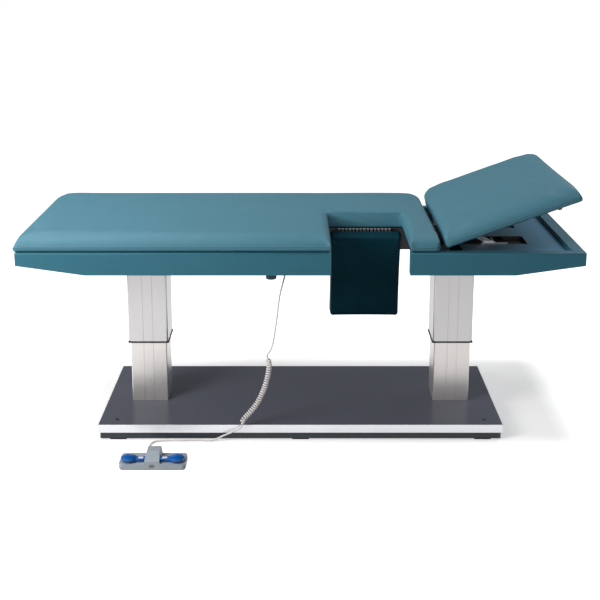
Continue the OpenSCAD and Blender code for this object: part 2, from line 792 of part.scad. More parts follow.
module rail(x, y) color([0.24, 0.45, 0.51])
  intersection() {
    along_y(y[0], y[1]) frame_side();
    along_x(x[0], x[1]) {
      round_rect(y, [rail_bottom - over, frame_top], rail_round);
      translate([y[0], rail_bottom - over]) square([y[1] - y[0], rail_h / 2]);
    }
  }

module front_rail_foot() rail([-end_x, window_x], [-side_y, -inner_side_y]);
module front_rail_head() rail([window_end, end_x], [-side_y, -inner_side_y]);
module back_rail() rail([-end_x, end_x], [inner_side_y, side_y]);
module foot_end_rail() rail([-end_x, -inner_end_x], [-inner_side_y, inner_side_y]);
module head_end_rail() rail([inner_end_x, end_x], [-inner_side_y, inner_side_y]);

// Mattress
module mattress_board() color([0.72, 0.58, 0.40]) {
  x = [-end_x - mattress_over + board_inset, mattress_end - board_inset];
  difference() {
    round_box(x, [-side_y + board_inset, side_y - board_inset], [frame_top, frame_top + board_t],
      board_corner);
    box([window_x - board_inset, window_end + board_inset],
      [-side_y, window_back + board_inset], [frame_top - over, frame_top + board_t + over]);
  }
}

module mattress() color([0.37, 0.57, 0.63])
  cushion([-end_x - mattress_over, mattress_end], [-side_y, side_y],
    [cushion_bottom, frame_top + mattress_t], cushion_edge, [mattress_corner, mattress_corner],
    crown, draw_in, board_t, [8, 3], [window_x, window_end, window_back]);

// Piano hinge: even knuckles are fixed, odd ones swing
module knuckle_row(first) {
  for (k = [first : 2 : knuckles - 1])
    translate([window_mid - hinge_len / 2 + k * knuckle_pitch + knuckle_gap / 2, pin_y, pin_z])
      rotate([0, 90, 0]) cylinder(knuckle_pitch - knuckle_gap, r = knuckle_r);
}

module hinge_bore()
  translate([window_mid - hinge_len / 2 - over, pin_y, pin_z])
    rotate([0, 90, 0]) cylinder(hinge_len + 2 * over, r = hinge_pin_r + fit);

module flap_fixed_leaf() color([0.62, 0.63, 0.65]) difference() {
  union() {
    box([window_mid - hinge_len / 2, window_mid + hinge_len / 2],
      [beam_face_y - hinge_leaf_t, beam_face_y], [pin_z - leaf_fixed_h, pin_z - knuckle_relief]);
    knuckle_row(0);
    for (k = [0 : 2 : knuckles - 1])
      translate([window_mid - hinge_len / 2 + k * knuckle_pitch, 0, 0])
        box([knuckle_gap / 2, knuckle_pitch - knuckle_gap / 2],
          [beam_face_y - hinge_leaf_t, beam_face_y], [pin_z - knuckle_relief - over, pin_z]);
  }
  hinge_bore();
}

module flap_hinge_pin() color([0.75, 0.75, 0.77])
  translate([window_mid - hinge_len / 2, pin_y, pin_z])
    rotate([0, 90, 0]) cylinder(hinge_len, r = hinge_pin_r);

// The flap is drawn raised, then hung from its pin
module hung()
  translate([0, pin_y, pin_z]) rotate([90 + flap_hang, 0, 0]) translate([0, -pin_y, -pin_z])
    children();

module flap_leaf() color([0.62, 0.63, 0.65]) hung() difference() {
  z = [cushion_bottom - hinge_leaf_t, cushion_bottom];
  union() {
    box([window_mid - hinge_len / 2, window_mid + hinge_len / 2],
      [pin_y - leaf_reach, pin_y - knuckle_relief], z);
    knuckle_row(1);
    for (k = [1 : 2 : knuckles - 1])
      translate([window_mid - hinge_len / 2 + k * knuckle_pitch, 0, 0])
        box([knuckle_gap / 2, knuckle_pitch - knuckle_gap / 2],
          [pin_y - knuckle_relief - over, pin_y], z);
  }
  hinge_bore();
}

module flap_board() color([0.72, 0.58, 0.40]) hung() {
  inset = flap_edge + pocket_draft + draw_in + seat_gap;
  round_box([flap_x + inset, flap_x + flap_w - inset], [flap_front_y + inset, flap_back_y - inset],
    [cushion_bottom, cushion_bottom + flap_board_t], flap_board_t / 2);
}

module flap_pad() color([0.06, 0.18, 0.22]) hung()
  cushion([flap_x, flap_x + flap_w], [flap_front_y, flap_back_y],
    [cushion_bottom, cushion_bottom + flap_t], flap_edge, [2 * flap_edge, 2 * flap_edge],
    flap_crown, draw_in / 2, flap_board_t, [3, 3]);

// Arm support
module support_guides() color([0.30, 0.31, 0.33]) {
  guide_z = [support_z - support_d / 2 - guide_wall, frame_top];
  difference() {
    union() {
      box([guide_x[0], guide_x[0] + guide_len], [-inner_side_y, -inner_side_y + guide_w], guide_z);
      box([guide_x[1], guide_x[1] + near_guide_len], [-inner_side_y, -inner_side_y + guide_w], guide_z);
    }
    translate([support_x0, support_y, support_z]) rotate([0, 90, 0])
      cylinder(window_x - support_x0, d = support_d + 2 * fit);
    box([guide_x[0] - over, window_x], [support_y - support_d / 4, support_y + support_d / 4],
      [support_z, frame_top + over]);
  }
}

module support_bar() color([0.72, 0.72, 0.74]) {
  translate([support_x0, support_y, support_z]) rotate([0, 90, 0])
    cylinder(support_x1 - support_x0, d = support_d);
  translate([stem_x, support_y, knob_top - knob_h / 2])
    cylinder(support_z - knob_top + knob_h / 2, d = stem_d);
}

module support_knob() color([0.07, 0.08, 0.10])
  translate([stem_x, support_y, knob_top - knob_h]) difference() {
    rotate_extrude() {
      square([knob_d / 2 - knob_round, knob_h]);
      translate([0, knob_round]) square([knob_d / 2, knob_h - 2 * knob_round]);
      for (z = [knob_round, knob_h - knob_round])
        translate([knob_d / 2 - knob_round, z]) circle(knob_round);
    }
    translate([0, 0, knob_h / 2]) cylinder(knob_h, d = stem_d + 2 * fit);
  }

// Head tray
module slots(z)
  both_sides() box([slot_x, slot_x + slot_len], [slot_y0, slot_y1], z);

module head_tray() color([0.29, 0.41, 0.53]) difference() {
  box([tray_x, inner_end_x], [-inner_side_y, inner_side_y], [tray_top - tray_flange, tray_top]);
  box([tray_x + tray_t, inner_end_x - tray_t], [-inner_side_y + tray_t, inner_side_y - tray_t],
    [tray_top - tray_flange - over, tray_top - tray_t]);
  slots([tray_top - tray_flange, tray_top + over]);
}

// Wells under the slots; the prop's rod runs through a notch in each inner wall
module slot_lips() color([0.10, 0.10, 0.11])
  both_sides() difference() {
    box([slot_x, slot_x + slot_len], [slot_y0, slot_y1], [arm_top, tray_top]);
    box([slot_x + lip_t, slot_x + slot_len - lip_t], [slot_y0 + lip_t, slot_y1 - lip_t],
      [arm_top + lip_t, tray_top + over]);
    box([track_x0, track_x1], [slot_y0 - over, slot_y0 + lip_t + over],
      [arm_top + lip_t, tray_top - tray_t]);
  }

module prop_tracks() color([0.66, 0.67, 0.69]) {
  z = [pivot_z - track_h / 2, pivot_z + track_h / 2];
  both_sides() difference() {
    box([track_x0, track_x1], [track_y, track_y + track_w], z);
    box([track_x0 - over, track_x1 + over], [track_y - over, track_y + track_w - track_t],
      [z[0] + track_t, z[1] - track_t]);
  }
}

// Backrest: drawn flat, then tilted about its pivot
module tilted()
  translate([pivot_x, 0, pivot_z]) rotate([0, -rest_tilt, 0]) translate([-pivot_x, 0, -pivot_z])
    children();

module cross_pin(x, z, y, r)
  translate([x, y[1], z]) rotate([90, 0, 0]) cylinder(y[1] - y[0], r = r);

module backrest_brackets() color([0.16, 0.17, 0.19])
  both_sides() for (y = [arm_y - arm_t / 2 - arm_play - arm_t, arm_y + arm_t / 2 + arm_play])
    difference() {
      union() {
        cross_pin(pivot_x, pivot_z, [y, y + arm_t], eye_r);
        box([pivot_x - eye_r - arm_play, pivot_x], [y, y + arm_t], [pivot_z - eye_r, pivot_z + eye_r]);
      }
      cross_pin(pivot_x, pivot_z, [y - over, y + arm_t + over], pivot_pin_r + fit);
    }

module backrest_pins() color([0.75, 0.75, 0.77]) {
  reach = arm_t * 3 / 2 + arm_play;
  both_sides() {
    cross_pin(pivot_x, pivot_z, [arm_y - reach, arm_y + reach], pivot_pin_r);
    for (y = [arm_y - reach - pin_head, arm_y + reach])
      cross_pin(pivot_x, pivot_z, [y, y + pin_head], pivot_pin_r + pin_head);
  }
}

module backrest_arms() color([0.16, 0.17, 0.19]) tilted() {
  under = cushion_bottom - pivot_z;
  both_sides() difference() {
    union() {
      cross_pin(pivot_x, pivot_z, [arm_y - arm_t / 2, arm_y + arm_t / 2], eye_r);
      translate([pivot_x, 0, pivot_z]) along_y(arm_y - arm_t / 2, arm_y + arm_t / 2)
        polygon([[0, -neck_half], [neck_run, -neck_half], [neck_end, under - arm_bar],
          [arm_reach, under - arm_bar], [arm_reach + arm_bar, under],
          [pad_x + board_inset - pivot_x, under], [neck_run, neck_half], [0, neck_half]]);
    }
    cross_pin(pivot_x, pivot_z, [arm_y - arm_t, arm_y + arm_t], pivot_pin_r + fit);
  }
  both_sides() {
    lug_y = [prop_y - prop_lug_gap - prop_lug_t, prop_y - prop_lug_gap];
    cross_pin(prop_pin_x, pivot_z + prop_rise, lug_y, prop_lug_r);
    box([prop_pin_x - prop_lug_r, prop_pin_x + prop_lug_r], lug_y,
      [pivot_z + prop_rise, cushion_bottom]);
    cross_pin(prop_pin_x, pivot_z + prop_rise, [lug_y[0], prop_y + prop_t + prop_lug_gap / 2],
      prop_pin_r);
  }
}

module backrest_board() color([0.72, 0.58, 0.40]) tilted()
  round_box([pad_x + board_inset, pad_end - board_inset], [-pad_side + board_inset, pad_side - board_inset],
    [cushion_bottom, cushion_bottom + board_t], board_corner);

module backrest_pad() color([0.36, 0.56, 0.62]) tilted()
  cushion([pad_x, pad_end], [-pad_side, pad_side], [cushion_bottom, frame_top + mattress_t],
    cushion_edge, [cushion_edge + draw_in, pad_corner], crown, draw_in, board_t, [5, 7]);

module backrest_bumpers() color([0.10, 0.10, 0.11]) tilted()
  for (s = [-1, 1]) translate([bumper_x, s * bumper_y, cushion_bottom - bumper_len])
    cylinder(bumper_len, r = bumper_r);

// Prop
module prop_frame()
  translate([pivot_x + prop_len * cos(prop_angle), 0, pivot_z + prop_len * sin(prop_angle)])
    rotate([0, prop_angle, 0]) children();

module prop_bars() color([0.60, 0.61, 0.63]) prop_frame()
  both_sides() difference() {
    union() {
      box([0, prop_len], [prop_y, prop_y + prop_t], [-prop_half, prop_half]);
      for (x = [0, prop_len]) cross_pin(x, 0, [prop_y, prop_y + prop_t], prop_half);
    }
    cross_pin(0, 0, [prop_y - over, prop_y + prop_t + over], prop_pin_r + fit);
    cross_pin(prop_len, 0, [prop_y - over, prop_y + prop_t + over], prop_rod_r + fit);
  }

module prop_rod() color([0.66, 0.67, 0.69])
  cross_pin(prop_foot_x, pivot_z,
    [-track_y - track_w + track_t + track_gap / 3, track_y + track_w - track_t - track_gap / 3],
    prop_rod_r);

module track_shoes() color([0.15, 0.15, 0.16])
  both_sides() difference() {
    h = track_h / 2 - track_t - slide_gap;
    y = [track_y + slide_gap, track_y + track_w - track_t - slide_gap];
    box([prop_foot_x - shoe_len / 2, prop_foot_x + shoe_len / 2], y, [pivot_z - h, pivot_z + h]);
    cross_pin(prop_foot_x, pivot_z, [y[0] - over, y[1] + over], prop_rod_r + fit);
  }

// Control box
module control_box() color([0.20, 0.21, 0.23]) {
  x = [box_x1 - box_len, box_x1];
  y = [box_y0, beam_face_y];
  z1 = frame_top - box_drop;
  difference() {
    round_box(x, y, [z1 - box_h, z1], box_round);
    difference() {
      box([x[0] - over, x[1] + over], [y[0] - over, y[1] + over],
        [z1 - box_groove_h - box_groove, z1 - box_groove_h]);
      round_box([x[0] + box_groove, x[1] - box_groove], [y[0] + box_groove, y[1] - box_groove],
        [z1 - box_h, z1], box_round);
    }
    box([x[0] - over, x[0] + inlet_depth],
      [(y[0] + y[1]) / 2 - inlet_w / 2 + inlet_wall, (y[0] + y[1]) / 2 + inlet_w / 2 - inlet_wall],
      [z1 - box_h / 2 - inlet_h / 2 + inlet_wall, z1 - box_h / 2 + inlet_h / 2 - inlet_wall]);
  }
}

module mains_inlet() color([0.08, 0.08, 0.09])
  translate([box_x1 - box_len, (box_y0 + beam_face_y) / 2, frame_top - box_drop - box_h / 2]) {
    w = inlet_w / 2 - inlet_wall;
    h = inlet_h / 2 - inlet_wall;
    difference() {
      box([-inlet_t, 0], [-inlet_w / 2, inlet_w / 2], [-inlet_h / 2, inlet_h / 2]);
      box([-inlet_t - over, over], [-w, w], [-h, h]);
    }
    box([inlet_depth - inlet_t, inlet_depth], [-w, w], [-h, h]);
    for (y = [-inlet_pin_pitch, 0, inlet_pin_pitch])
      box([0, inlet_depth - inlet_t], [y - inlet_pin_w / 2, y + inlet_pin_w / 2], [-inlet_pin_w, inlet_pin_w]);
  }

module cord_gland() color([0.08, 0.08, 0.09])
  translate(upper_route[0]) cylinder(gland_h, r1 = gland_tip_r, r2 = gland_r);

// Cord
module cord_upper() color([0.80, 0.80, 0.79])
  tube(smooth_route(upper_route, upper_step), cord_r, cord_sides, [0, 0, -1],
    unit(curl_line[1] - curl_line[0]));

module cord_curl() color([0.80, 0.80, 0.79])
  tube(curl_path, cord_r, curl_sides, unit(curl_line[1] - curl_line[0]),
    unit(curl_line[len(curl_line) - 1] - curl_line[len(curl_line) - 2]));

module cord_lower() color([0.80, 0.80, 0.79])
  tube(smooth_route(lower_route, lower_step), cord_r, cord_sides,
    unit(curl_line[len(curl_line) - 1] - curl_line[len(curl_line) - 2]), [0, -1, 0]);

// Foot control: each pedal's arm turns on a pin inside the middle cover
module at_switch() translate([switch_x, switch_y, 0]) children();
function arm_z() = pedal_z - pedal_arm_drop + pedal_arm_h / 2;

module switch_shell() color([0.60, 0.63, 0.66]) at_switch() {
  x = [-switch_len / 2, switch_len / 2];
  y = [-switch_w / 2, switch_w / 2];
  round_box([x[0] + mat_inset, x[1] - mat_inset], [y[0] + mat_inset, y[1] - mat_inset],
    [0, mat_h], shell_round - mat_inset);
  difference() {
    round_box(x, y, [mat_h, shell_top], shell_round);
    box([-recess_w / 2, recess_w / 2], [y[0] - over, y[0] + recess_d], [recess_z, recess_z + recess_h]);
  }
  for (s = [-1, 1]) translate([s * pedal_reach, pedal_y, shell_top])
    cylinder(pedal_z - stop_gap - shell_top, r = stop_r);
}

module switch_cover() color([0.57, 0.60, 0.64]) at_switch() {
  w = hump_w / 2;
  d = switch_w / 2;
  slot = pedal_arm_w / 2 + pedal_play;
  difference() {
    intersection() {
      along_y(-d, d) polygon([[-w, shell_top], [w, shell_top], [w - hump_draft, switch_h],
        [hump_draft - w, switch_h]]);
      along_x(-w, w) polygon([[-d, shell_top], [d, shell_top], [d, switch_h - hump_draft],
        [d - hump_draft, switch_h], [0, switch_h], [-d, hump_front_z]]);
    }
    for (s = [-1, 1]) mirror([s < 0 ? 1 : 0, 0, 0])
      box([pedal_pin_x - pedal_eye_r - pedal_play, w + over], [pedal_y - slot, pedal_y + slot],
        [shell_top - over, arm_z() + pedal_eye_r + pedal_play]);
  }
  for (s = [-1, 1])
    cross_pin(s * pedal_pin_x, arm_z(), [pedal_y - slot, pedal_y + slot], pedal_pin_r);
  translate([lower_route[len(lower_route) - 1][0] - switch_x, d, lower_route[len(lower_route) - 1][2]])
    rotate([-90, 0, 0]) cylinder(switch_gland_len, r1 = switch_gland_r, r2 = cord_r + fit);
}

module pedal() {
  r = pedal_d / 2;
  y = [pedal_y - pedal_arm_w / 2, pedal_y + pedal_arm_w / 2];
  translate([pedal_reach, pedal_y, pedal_z]) rotate_extrude() intersection() {
    square([r, pedal_h]);
    translate([0, pedal_h - dome_radius()]) circle(dome_radius(), $fn = 96);
  }
  difference() {
    union() {
      box([pedal_pin_x, pedal_reach - stop_r - pedal_play], y,
        [pedal_z - pedal_arm_drop, pedal_z - pedal_arm_drop + pedal_arm_h]);
      cross_pin(pedal_pin_x, arm_z(), y, pedal_eye_r);
    }
    cross_pin(pedal_pin_x, arm_z(), [y[0] - over, y[1] + over], pedal_pin_r + fit);
  }
}
function dome_radius() = (pow(pedal_d / 2, 2) + pow(pedal_dome, 2)) / 2 / pedal_dome;

module pedal_up() color([0.10, 0.36, 0.66]) at_switch() mirror([1, 0, 0]) pedal();
module pedal_down() color([0.10, 0.36, 0.66]) at_switch() pedal();

base_board();
base_laminate();
base_edge_band();
base_plinth();
rubber_feet();
base_screws();
column_left_inner();
column_right_inner();
nut_tubes();
lead_nuts();
upper_glides();
column_left_outer();
column_right_outer();
wiper_rings();
lower_glides();
gear_motors();
head_plates();
column_bolts();
cross_arms();
lead_screw_left();
lead_screw_right();
hinge_beam();
bearers();
front_rail_foot();
front_rail_head();
back_rail();
foot_end_rail();
head_end_rail();
mattress_board();
mattress();
flap_fixed_leaf();
flap_hinge_pin();
flap_leaf();
flap_board();
flap_pad();
support_guides();
support_bar();
support_knob();
head_tray();
slot_lips();
prop_tracks();
backrest_brackets();
backrest_pins();
backrest_arms();
backrest_board();
backrest_pad();
backrest_bumpers();
prop_bars();
prop_rod();
track_shoes();
control_box();
mains_inlet();
cord_gland();
cord_upper();
cord_curl();
cord_lower();
switch_shell();
switch_cover();
pedal_up();
pedal_down();
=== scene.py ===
import json
import math

import bmesh
import bpy
import numpy as np
from mathutils import Matrix, Vector


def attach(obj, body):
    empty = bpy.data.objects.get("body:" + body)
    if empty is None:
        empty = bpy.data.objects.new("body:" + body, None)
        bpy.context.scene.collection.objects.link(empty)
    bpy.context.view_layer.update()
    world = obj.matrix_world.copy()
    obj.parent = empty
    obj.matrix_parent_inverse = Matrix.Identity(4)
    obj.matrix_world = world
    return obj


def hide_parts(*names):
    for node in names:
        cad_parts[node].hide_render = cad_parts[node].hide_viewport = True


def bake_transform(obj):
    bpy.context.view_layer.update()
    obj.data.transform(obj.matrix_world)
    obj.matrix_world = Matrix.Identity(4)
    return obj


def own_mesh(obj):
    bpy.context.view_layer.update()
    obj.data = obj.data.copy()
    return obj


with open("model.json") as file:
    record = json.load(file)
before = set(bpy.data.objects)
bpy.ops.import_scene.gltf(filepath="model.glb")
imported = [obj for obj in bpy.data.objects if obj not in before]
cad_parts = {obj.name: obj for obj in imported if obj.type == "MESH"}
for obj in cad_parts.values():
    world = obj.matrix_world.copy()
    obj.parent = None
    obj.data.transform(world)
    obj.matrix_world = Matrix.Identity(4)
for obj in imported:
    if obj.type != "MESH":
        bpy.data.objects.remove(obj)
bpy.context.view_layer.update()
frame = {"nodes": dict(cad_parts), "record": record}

NODES = frame["nodes"]
SLOT_OF = {p["node"]: p["material_slot"] for p in frame["record"]["subparts"]}
scene = bpy.context.scene
MM = 0.001

# Camera: the photograph's view from the front, fitted to the frame's, columns' and base's corners.
LENS_MM, SENSOR_MM, SHIFT_Y = 66.27, 36, -0.14
CAMERA_AT = (-0.0017, -3.9669, 1.6830)
CAMERA_PITCH = math.radians(76.85)

cam_data = bpy.data.cameras.new("camera")
cam_data.lens = LENS_MM
cam_data.sensor_width = SENSOR_MM
cam_data.shift_y = SHIFT_Y
camera = bpy.data.objects.new("camera", cam_data)
scene.collection.objects.link(camera)
camera.location = CAMERA_AT
camera.rotation_euler = (CAMERA_PITCH, 0, 0)
scene.camera = camera


def add(name, verts, faces, smooth=True):
    """A new mesh object."""
    mesh = bpy.data.meshes.new(name)
    mesh.from_pydata([tuple(v) for v in verts], [], [tuple(f) for f in faces])
    mesh.update()
    obj = bpy.data.objects.new(name, mesh)
    scene.collection.objects.link(obj)
    if smooth:
        mesh.polygons.foreach_set("use_smooth", [True] * len(mesh.polygons))
    return obj


# Cord: one tube in place of the CAD's three solids. The route's points are part.scad's own, in
# millimetres, from the gland under the frame to the foot control.
UPPER = [[-55, -275, 630], [-55, -275, 622], [-56, -276, 602], [-72, -290, 540], [-84, -300, 450],
         [-98, -305, 365], [-116, -306, 328], [-117, -306, 322]]
CURL = [[-117, -306, 322], [-111, -306, 296], [-112, -306, 266], [-127, -306, 205],
        [-153, -306, 147], [-183, -306, 107], [-203, -306, 84], [-208, -306, 62]]
LOWER = [[-208, -306, 62], [-211, -306, 55], [-225, -306, 45], [-269, -306, 25], [-315, -305, 5],
         [-365, -303, 4], [-416, -304, 4], [-486, -306, 4], [-522, -318, 4], [-532, -350, 4],
         [-524, -394, 5], [-518, -418, 14], [-518, -427, 18], [-518, -433, 18]]
# Diameters of the cord and of its curls, the number of curls, the points in each, and the spacing of
# points along the straight parts and round the tube
CORD_D, CURL_D, CURLS, RINGS = 6.0, 20.0, 31, 24
ROUTE_STEP, TUBE_SIDES = 4, 12
# A direction that no stretch of the cord runs along
SIDEWAYS = Vector((0, 1, 0.1))
DOWN, FORWARD = Vector((0, 0, -1)), Vector((0, -1, 0))


def smooth_route(points, step):
    """Hermite curve through the points."""
    p = [Vector(q) for q in points]
    out = []
    for i in range(len(p) - 1):
        a = p[i - 1] if i else 2 * p[0] - p[1]
        b, c = p[i], p[i + 1]
        d = p[i + 2] if i + 2 < len(p) else 2 * p[i + 1] - p[i]
        m, n = (c - a) / 2, (d - b) / 2
        count = max(1, round((c - b).length / step))
        for k in range(count):
            t = k / count
            out.append((2 * t**3 - 3 * t**2 + 1) * b + (t**3 - 2 * t**2 + t) * m
                       + (3 * t**2 - 2 * t**3) * c + (t**3 - t**2) * n)
    return out + [p[-1]]


def turned(n, t):
    """n made square to t."""
    return (n - n.dot(t) * t).normalized()


def path_frames(p, start, end):
    """Tangent and normal at each point, carried along without twist."""
    out, n = [], SIDEWAYS
    for i in range(len(p)):
        if i == 0:
            t = start
        elif i < len(p) - 1:
            t = (p[i + 1] - p[i - 1]).normalized()
        else:
            t = end
        n = turned(n, t)
        out.append((t, n))
    return out


def curl_points(p):
    """A helix round the path p, which grows and shrinks over its first and last turn."""
    total = sum((p[i + 1] - p[i]).length for i in range(len(p) - 1))
    n = CURLS * RINGS
    run = total - 2 * CORD_D
    f = path_frames(p, (p[1] - p[0]).normalized(), (p[-1] - p[-2]).normalized())
    sums = [0.0]
    for i in range(len(p) - 1):
        sums.append(sums[-1] + (p[i + 1] - p[i]).length)
    out, j = [p[0]], 0
    for k in range(n + 1):
        s = CORD_D + run * k / n
        while j < len(p) - 2 and sums[j + 1] < s:
            j += 1
        w = p[j] + (p[j + 1] - p[j]) * (s - sums[j]) / (sums[j + 1] - sums[j])
        t, m = f[j]
        b = t.cross(m)
        grow = min(k, n - k, RINGS) / RINGS
        grow = grow * grow * (3 - 2 * grow)
        a = 2 * math.pi * k / RINGS
        out.append(w + (CURL_D - CORD_D) / 2 * grow * (math.cos(a) * m + math.sin(a) * b))
    return out + [p[-1]]


def tube(name, p, radius, sides, start, end):
    """A closed round tube along the points p."""
    f = path_frames(p, start, end)
    verts, faces = [], []
    for i, q in enumerate(p):
        t, n = f[i]
        b = t.cross(n)
        for k in range(sides):
            a = 2 * math.pi * k / sides
            verts.append(q + radius * (math.cos(a) * n + math.sin(a) * b))
    for i in range(len(p) - 1):
        for k in range(sides):
            a, b = i * sides + k, i * sides + (k + 1) % sides
            faces.append((a, b, b + sides, a + sides))
    faces.append(tuple(range(sides))[::-1])
    last = (len(p) - 1) * sides
    faces.append(tuple(range(last, last + sides)))
    return add(name, verts, faces)


cord_path = smooth_route(UPPER, ROUTE_STEP)[:-1] + curl_points(smooth_route(CURL, CORD_D / 4))[:-1]
cord_path += smooth_route(LOWER, ROUTE_STEP)
cord_path = [q * MM for q in cord_path]
cord = tube("foot_control_cord", cord_path, CORD_D / 2 * MM, TUBE_SIDES, DOWN, FORWARD)
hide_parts("cord_upper", "cord_curl", "cord_lower")
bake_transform(cord)


# World, floor and lamps
scene.view_settings.view_transform = "Standard"
AMBIENT = 0.17
FLOOR_SEEN, FLOOR_BOUNCE = 0.80, 0.30
# Away from this box, in plan round the base, the floor glows more and more until it is white, so that
# the contact shadow fades out near the table: box centre, half sizes, fade length, least glow.
SHADE_CENTRE, SHADE_HALF = (0.05, 0.10, 0), (0.86, 0.34, 0)
SHADE_FADE, SHADE_GLOW = 0.21, 0.34
FLOOR_HALF = 30
CARD_Y, CARD_HALF, CARD_LOW, CARD_HIGH, CARD_GLOW = 3.4, 5, 0.02, 4.0, 0.3


class Tree:
    """A small wrapper that adds shader nodes in one line each."""

    def __init__(self, owner):
        owner.use_nodes = True
        self.t = owner.node_tree
        self.t.nodes.clear()

    def node(self, kind, inputs=None, **props):
        n = self.t.nodes.new("ShaderNode" + kind)
        for k, v in props.items():
            setattr(n, k, v)
        for k, v in (inputs or {}).items():
            s = n.inputs[k]
            if isinstance(v, bpy.types.NodeSocket):
                self.t.links.new(v, s)
            else:
                s.default_value = v
        return n


def rgb(c):
    """sRGB 0..255 to linear."""
    out = []
    for v in c:
        v /= 255
        out.append(v / 12.92 if v <= 0.04045 else ((v + 0.055) / 1.055) ** 2.4)
    return (*out, 1.0)


def seen_rays(tree):
    """1 for camera, glossy and transmission rays, and 0 for the rest."""
    lp = tree.node("LightPath")
    a = tree.node("Math", {0: lp.outputs["Is Camera Ray"], 1: lp.outputs["Is Glossy Ray"]},
                  operation="MAXIMUM")
    return tree.node("Math", {0: a.outputs[0], 1: lp.outputs["Is Transmission Ray"]},
                     operation="MAXIMUM").outputs[0]


world = bpy.data.worlds.new("world")
scene.world = world
w = Tree(world)
ambient = w.node("Background", {"Color": (0.93, 0.96, 1.0, 1), "Strength": AMBIENT})
white = w.node("Background", {"Color": (1, 1, 1, 1), "Strength": 1.0})
mix = w.node("MixShader", {0: seen_rays(w), 1: ambient.outputs[0], 2: white.outputs[0]})
w.node("OutputWorld", {0: mix.outputs[0]})

floor = add("floor", [(a * FLOOR_HALF, b * FLOOR_HALF, 0) for a, b in ((-1, -1), (1, -1), (1, 1), (-1, 1))],
            [(0, 1, 2, 3)], False)
floor_mat = bpy.data.materials.new("floor")
f = Tree(floor_mat)
lit = f.node("BsdfDiffuse", {"Color": (FLOOR_SEEN, FLOOR_SEEN, FLOOR_SEEN, 1)})
bounce = f.node("BsdfDiffuse", {"Color": (FLOOR_BOUNCE, FLOOR_BOUNCE, FLOOR_BOUNCE, 1)})
coords = f.node("NewGeometry")
off = f.node("VectorMath", {0: coords.outputs["Position"], 1: SHADE_CENTRE}, operation="SUBTRACT")
off = f.node("VectorMath", {0: off.outputs[0]}, operation="ABSOLUTE")
off = f.node("VectorMath", {0: off.outputs[0], 1: SHADE_HALF}, operation="SUBTRACT")
off = f.node("VectorMath", {0: off.outputs[0], 1: (0, 0, 0)}, operation="MAXIMUM")
far = f.node("VectorMath", {0: off.outputs[0]}, operation="LENGTH")
lift_far = f.node("MapRange", {0: far.outputs["Value"], 1: 0.0, 2: SHADE_FADE, 3: SHADE_GLOW, 4: 1.0},
                  interpolation_type="SMOOTHSTEP")
glow = f.node("Emission", {"Color": (1, 1, 1, 1), "Strength": lift_far.outputs[0]})
both = f.node("AddShader", {0: lit.outputs[0], 1: glow.outputs[0]})
pick = f.node("MixShader", {0: seen_rays(f), 1: bounce.outputs[0], 2: both.outputs[0]})
f.node("OutputMaterial", {0: pick.outputs[0]})
floor.data.materials.append(floor_mat)

# A grey card that only reflections see, so that level tops don't mirror the white background.
card = add("card", [(-CARD_HALF, CARD_Y, CARD_LOW), (CARD_HALF, CARD_Y, CARD_LOW),
                    (CARD_HALF, CARD_Y, CARD_HIGH), (-CARD_HALF, CARD_Y, CARD_HIGH)],
           [(0, 1, 2, 3)], False)
card_mat = bpy.data.materials.new("card")
g = Tree(card_mat)
grey = g.node("Emission", {"Color": (0.9, 0.95, 1.0, 1), "Strength": CARD_GLOW})
g.node("OutputMaterial", {0: grey.outputs[0]})
card.data.materials.append(card_mat)
for ray in ("camera", "diffuse", "transmission", "volume_scatter", "shadow"):
    setattr(card, "visible_" + ray, False)


def area_lamp(name, place, target, size, power, color):
    """A rectangular lamp that the camera doesn't see."""
    data = bpy.data.lights.new(name, "AREA")
    data.shape = "RECTANGLE"
    data.size, data.size_y = size
    data.energy = power
    data.color = color
    lamp = bpy.data.objects.new(name, data)
    lamp.location = place
    aim = Vector(target) - Vector(place)
    lamp.rotation_euler = aim.to_track_quat("-Z", "Y").to_euler()
    lamp.visible_camera = False
    scene.collection.objects.link(lamp)


# Place, target, size, watts and colour of each lamp
LAMPS = {
    "top_box": ((-1.3, 0.2, 2.3), (-0.7, 0, 0.7), (1.3, 1.3), 21, (1, 1, 1)),
    "key_box": ((-2.2, -1.9, 1.9), (-0.5, 0, 0.6), (1.4, 1.4), 76, (1.0, 0.99, 0.97)),
    "front_box": ((0.4, -4.6, 2.6), (0.1, 0, 0.5), (2.6, 1.4), 10, (1.0, 0.98, 0.96)),
    "back_box": ((2.1, 1.2, 2.4), (0.7, 0, 0.68), (1.5, 1.3), 24, (1, 1, 1)),
}
for name, lamp_data in LAMPS.items():
    area_lamp(name, *lamp_data)


# Materials: noise values between which a colour drifts, scale of flecks and values at which they start
# and are full, and radius of a worn edge, with the turns of its normal at which wear starts and is full
DRIFT = 0.32, 0.68
FLECK_SCALE, FLECK_FROM, FLECK_FULL = 700.0, 0.52, 0.66
WORN_RADIUS, WORN_FROM, WORN_FULL = 0.0016, 0.985, 0.86
# Leather: width of a crease in its cells, and how much finer its pores are
CREASE, PORES = 0.22, 2.2


